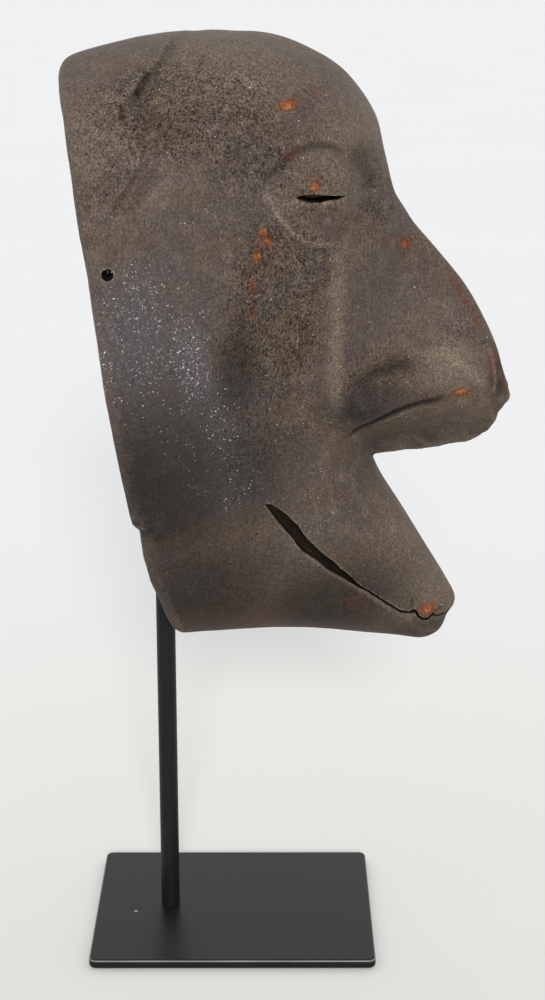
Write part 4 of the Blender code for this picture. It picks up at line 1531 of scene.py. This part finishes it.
class MASK_OT_wire(bpy.types.Operator):
    """Bend the cross wire whose ends carry the mask by its cord holes"""

    bl_idname = "display_mask.wire"
    bl_label = "Bend the wire"

    def execute(self, context):
        mesh = closed_mesh(bent_wire())
        wire = new_object("cross_wire", mesh)
        mesh.shade_smooth()
        mesh.materials.append(bare_steel(context.scene.mask_stand))
        hand_over(wire, "root", "hanging_wire")
        return {"FINISHED"}


# The stage

class MASK_OT_stage(bpy.types.Operator):
    """Lay the floor, hang the lights and place the camera"""

    bl_idname = "display_mask.stage"
    bl_label = "Set the stage"

    def execute(self, context):
        look = context.scene.mask_studio
        scene = context.scene
        work = bmesh.new()
        bmesh.ops.create_circle(
            work, cap_ends=True, segments=ROUND_SEGMENTS, radius=look.floor_radius
        )
        floor = object_from_bmesh("paper_floor", work)
        floor.location.z = PLATE_LOW.z
        floor.data.materials.append(paper_floor(look))

        scene.world = studio_sky(look)
        light = bpy.data.lights.new("key light", "SUN")
        light.energy = look.key_strength
        light.angle = look.key_spread
        lamp = new_object("key light", light)
        lamp.location = -KEY_LIGHT_AWAY * look.key_direction
        lamp.rotation_euler = look.key_direction.to_track_quat("-Z", "Y").to_euler()

        camera = bpy.data.cameras.new("camera")
        camera.lens = look.lens
        camera.sensor_width = 36
        camera.clip_end = 200
        holder = new_object("camera", camera)
        holder.location = look.camera_place
        holder.rotation_euler = (math.pi / 2 - look.camera_tilt, 0, look.camera_turn)
        scene.camera = holder
        scene.view_settings.view_transform = "Standard"
        return {"FINISHED"}


class MASK_PT_panel(bpy.types.Panel):
    """Lists what can be made and what can be changed"""

    bl_idname = "MASK_PT_panel"
    bl_label = "Carved mask"
    bl_space_type = "VIEW_3D"
    bl_region_type = "UI"
    bl_category = "Mask"

    def draw(self, context):
        for title, group, makers in (
            ("Carving", context.scene.mask_carving, (MASK_OT_carve,)),
            ("Patina", context.scene.mask_patina, ()),
            ("Stand", context.scene.mask_stand, (MASK_OT_plate, MASK_OT_rod, MASK_OT_wire)),
            ("Stage", context.scene.mask_studio, (MASK_OT_stage,)),
        ):
            box = self.layout.box()
            box.label(text=title)
            for name in group.__annotations__:
                box.prop(group, name)
            for maker in makers:
                box.operator(maker.bl_idname)


CLASSES = (
    CarvingSizes, PatinaLook, StandLook, StudioLook,
    MASK_OT_carve, MASK_OT_plate, MASK_OT_rod, MASK_OT_wire, MASK_OT_stage, MASK_PT_panel,
)
GROUPS = {
    "mask_carving": CarvingSizes, "mask_patina": PatinaLook,
    "mask_stand": StandLook, "mask_studio": StudioLook,
}


def register():
    for made in CLASSES:
        bpy.utils.register_class(made)
    for name, group in GROUPS.items():
        setattr(bpy.types.Scene, name, PointerProperty(type=group))


def unregister():
    for name in GROUPS:
        delattr(bpy.types.Scene, name)
    for made in reversed(CLASSES):
        bpy.utils.unregister_class(made)


def main():
    register()
    bpy.ops.display_mask.carve()
    bpy.ops.display_mask.plate()
    bpy.ops.display_mask.rod()
    bpy.ops.display_mask.wire()
    bpy.ops.display_mask.stage()


if __name__ == "__main__":
    main()
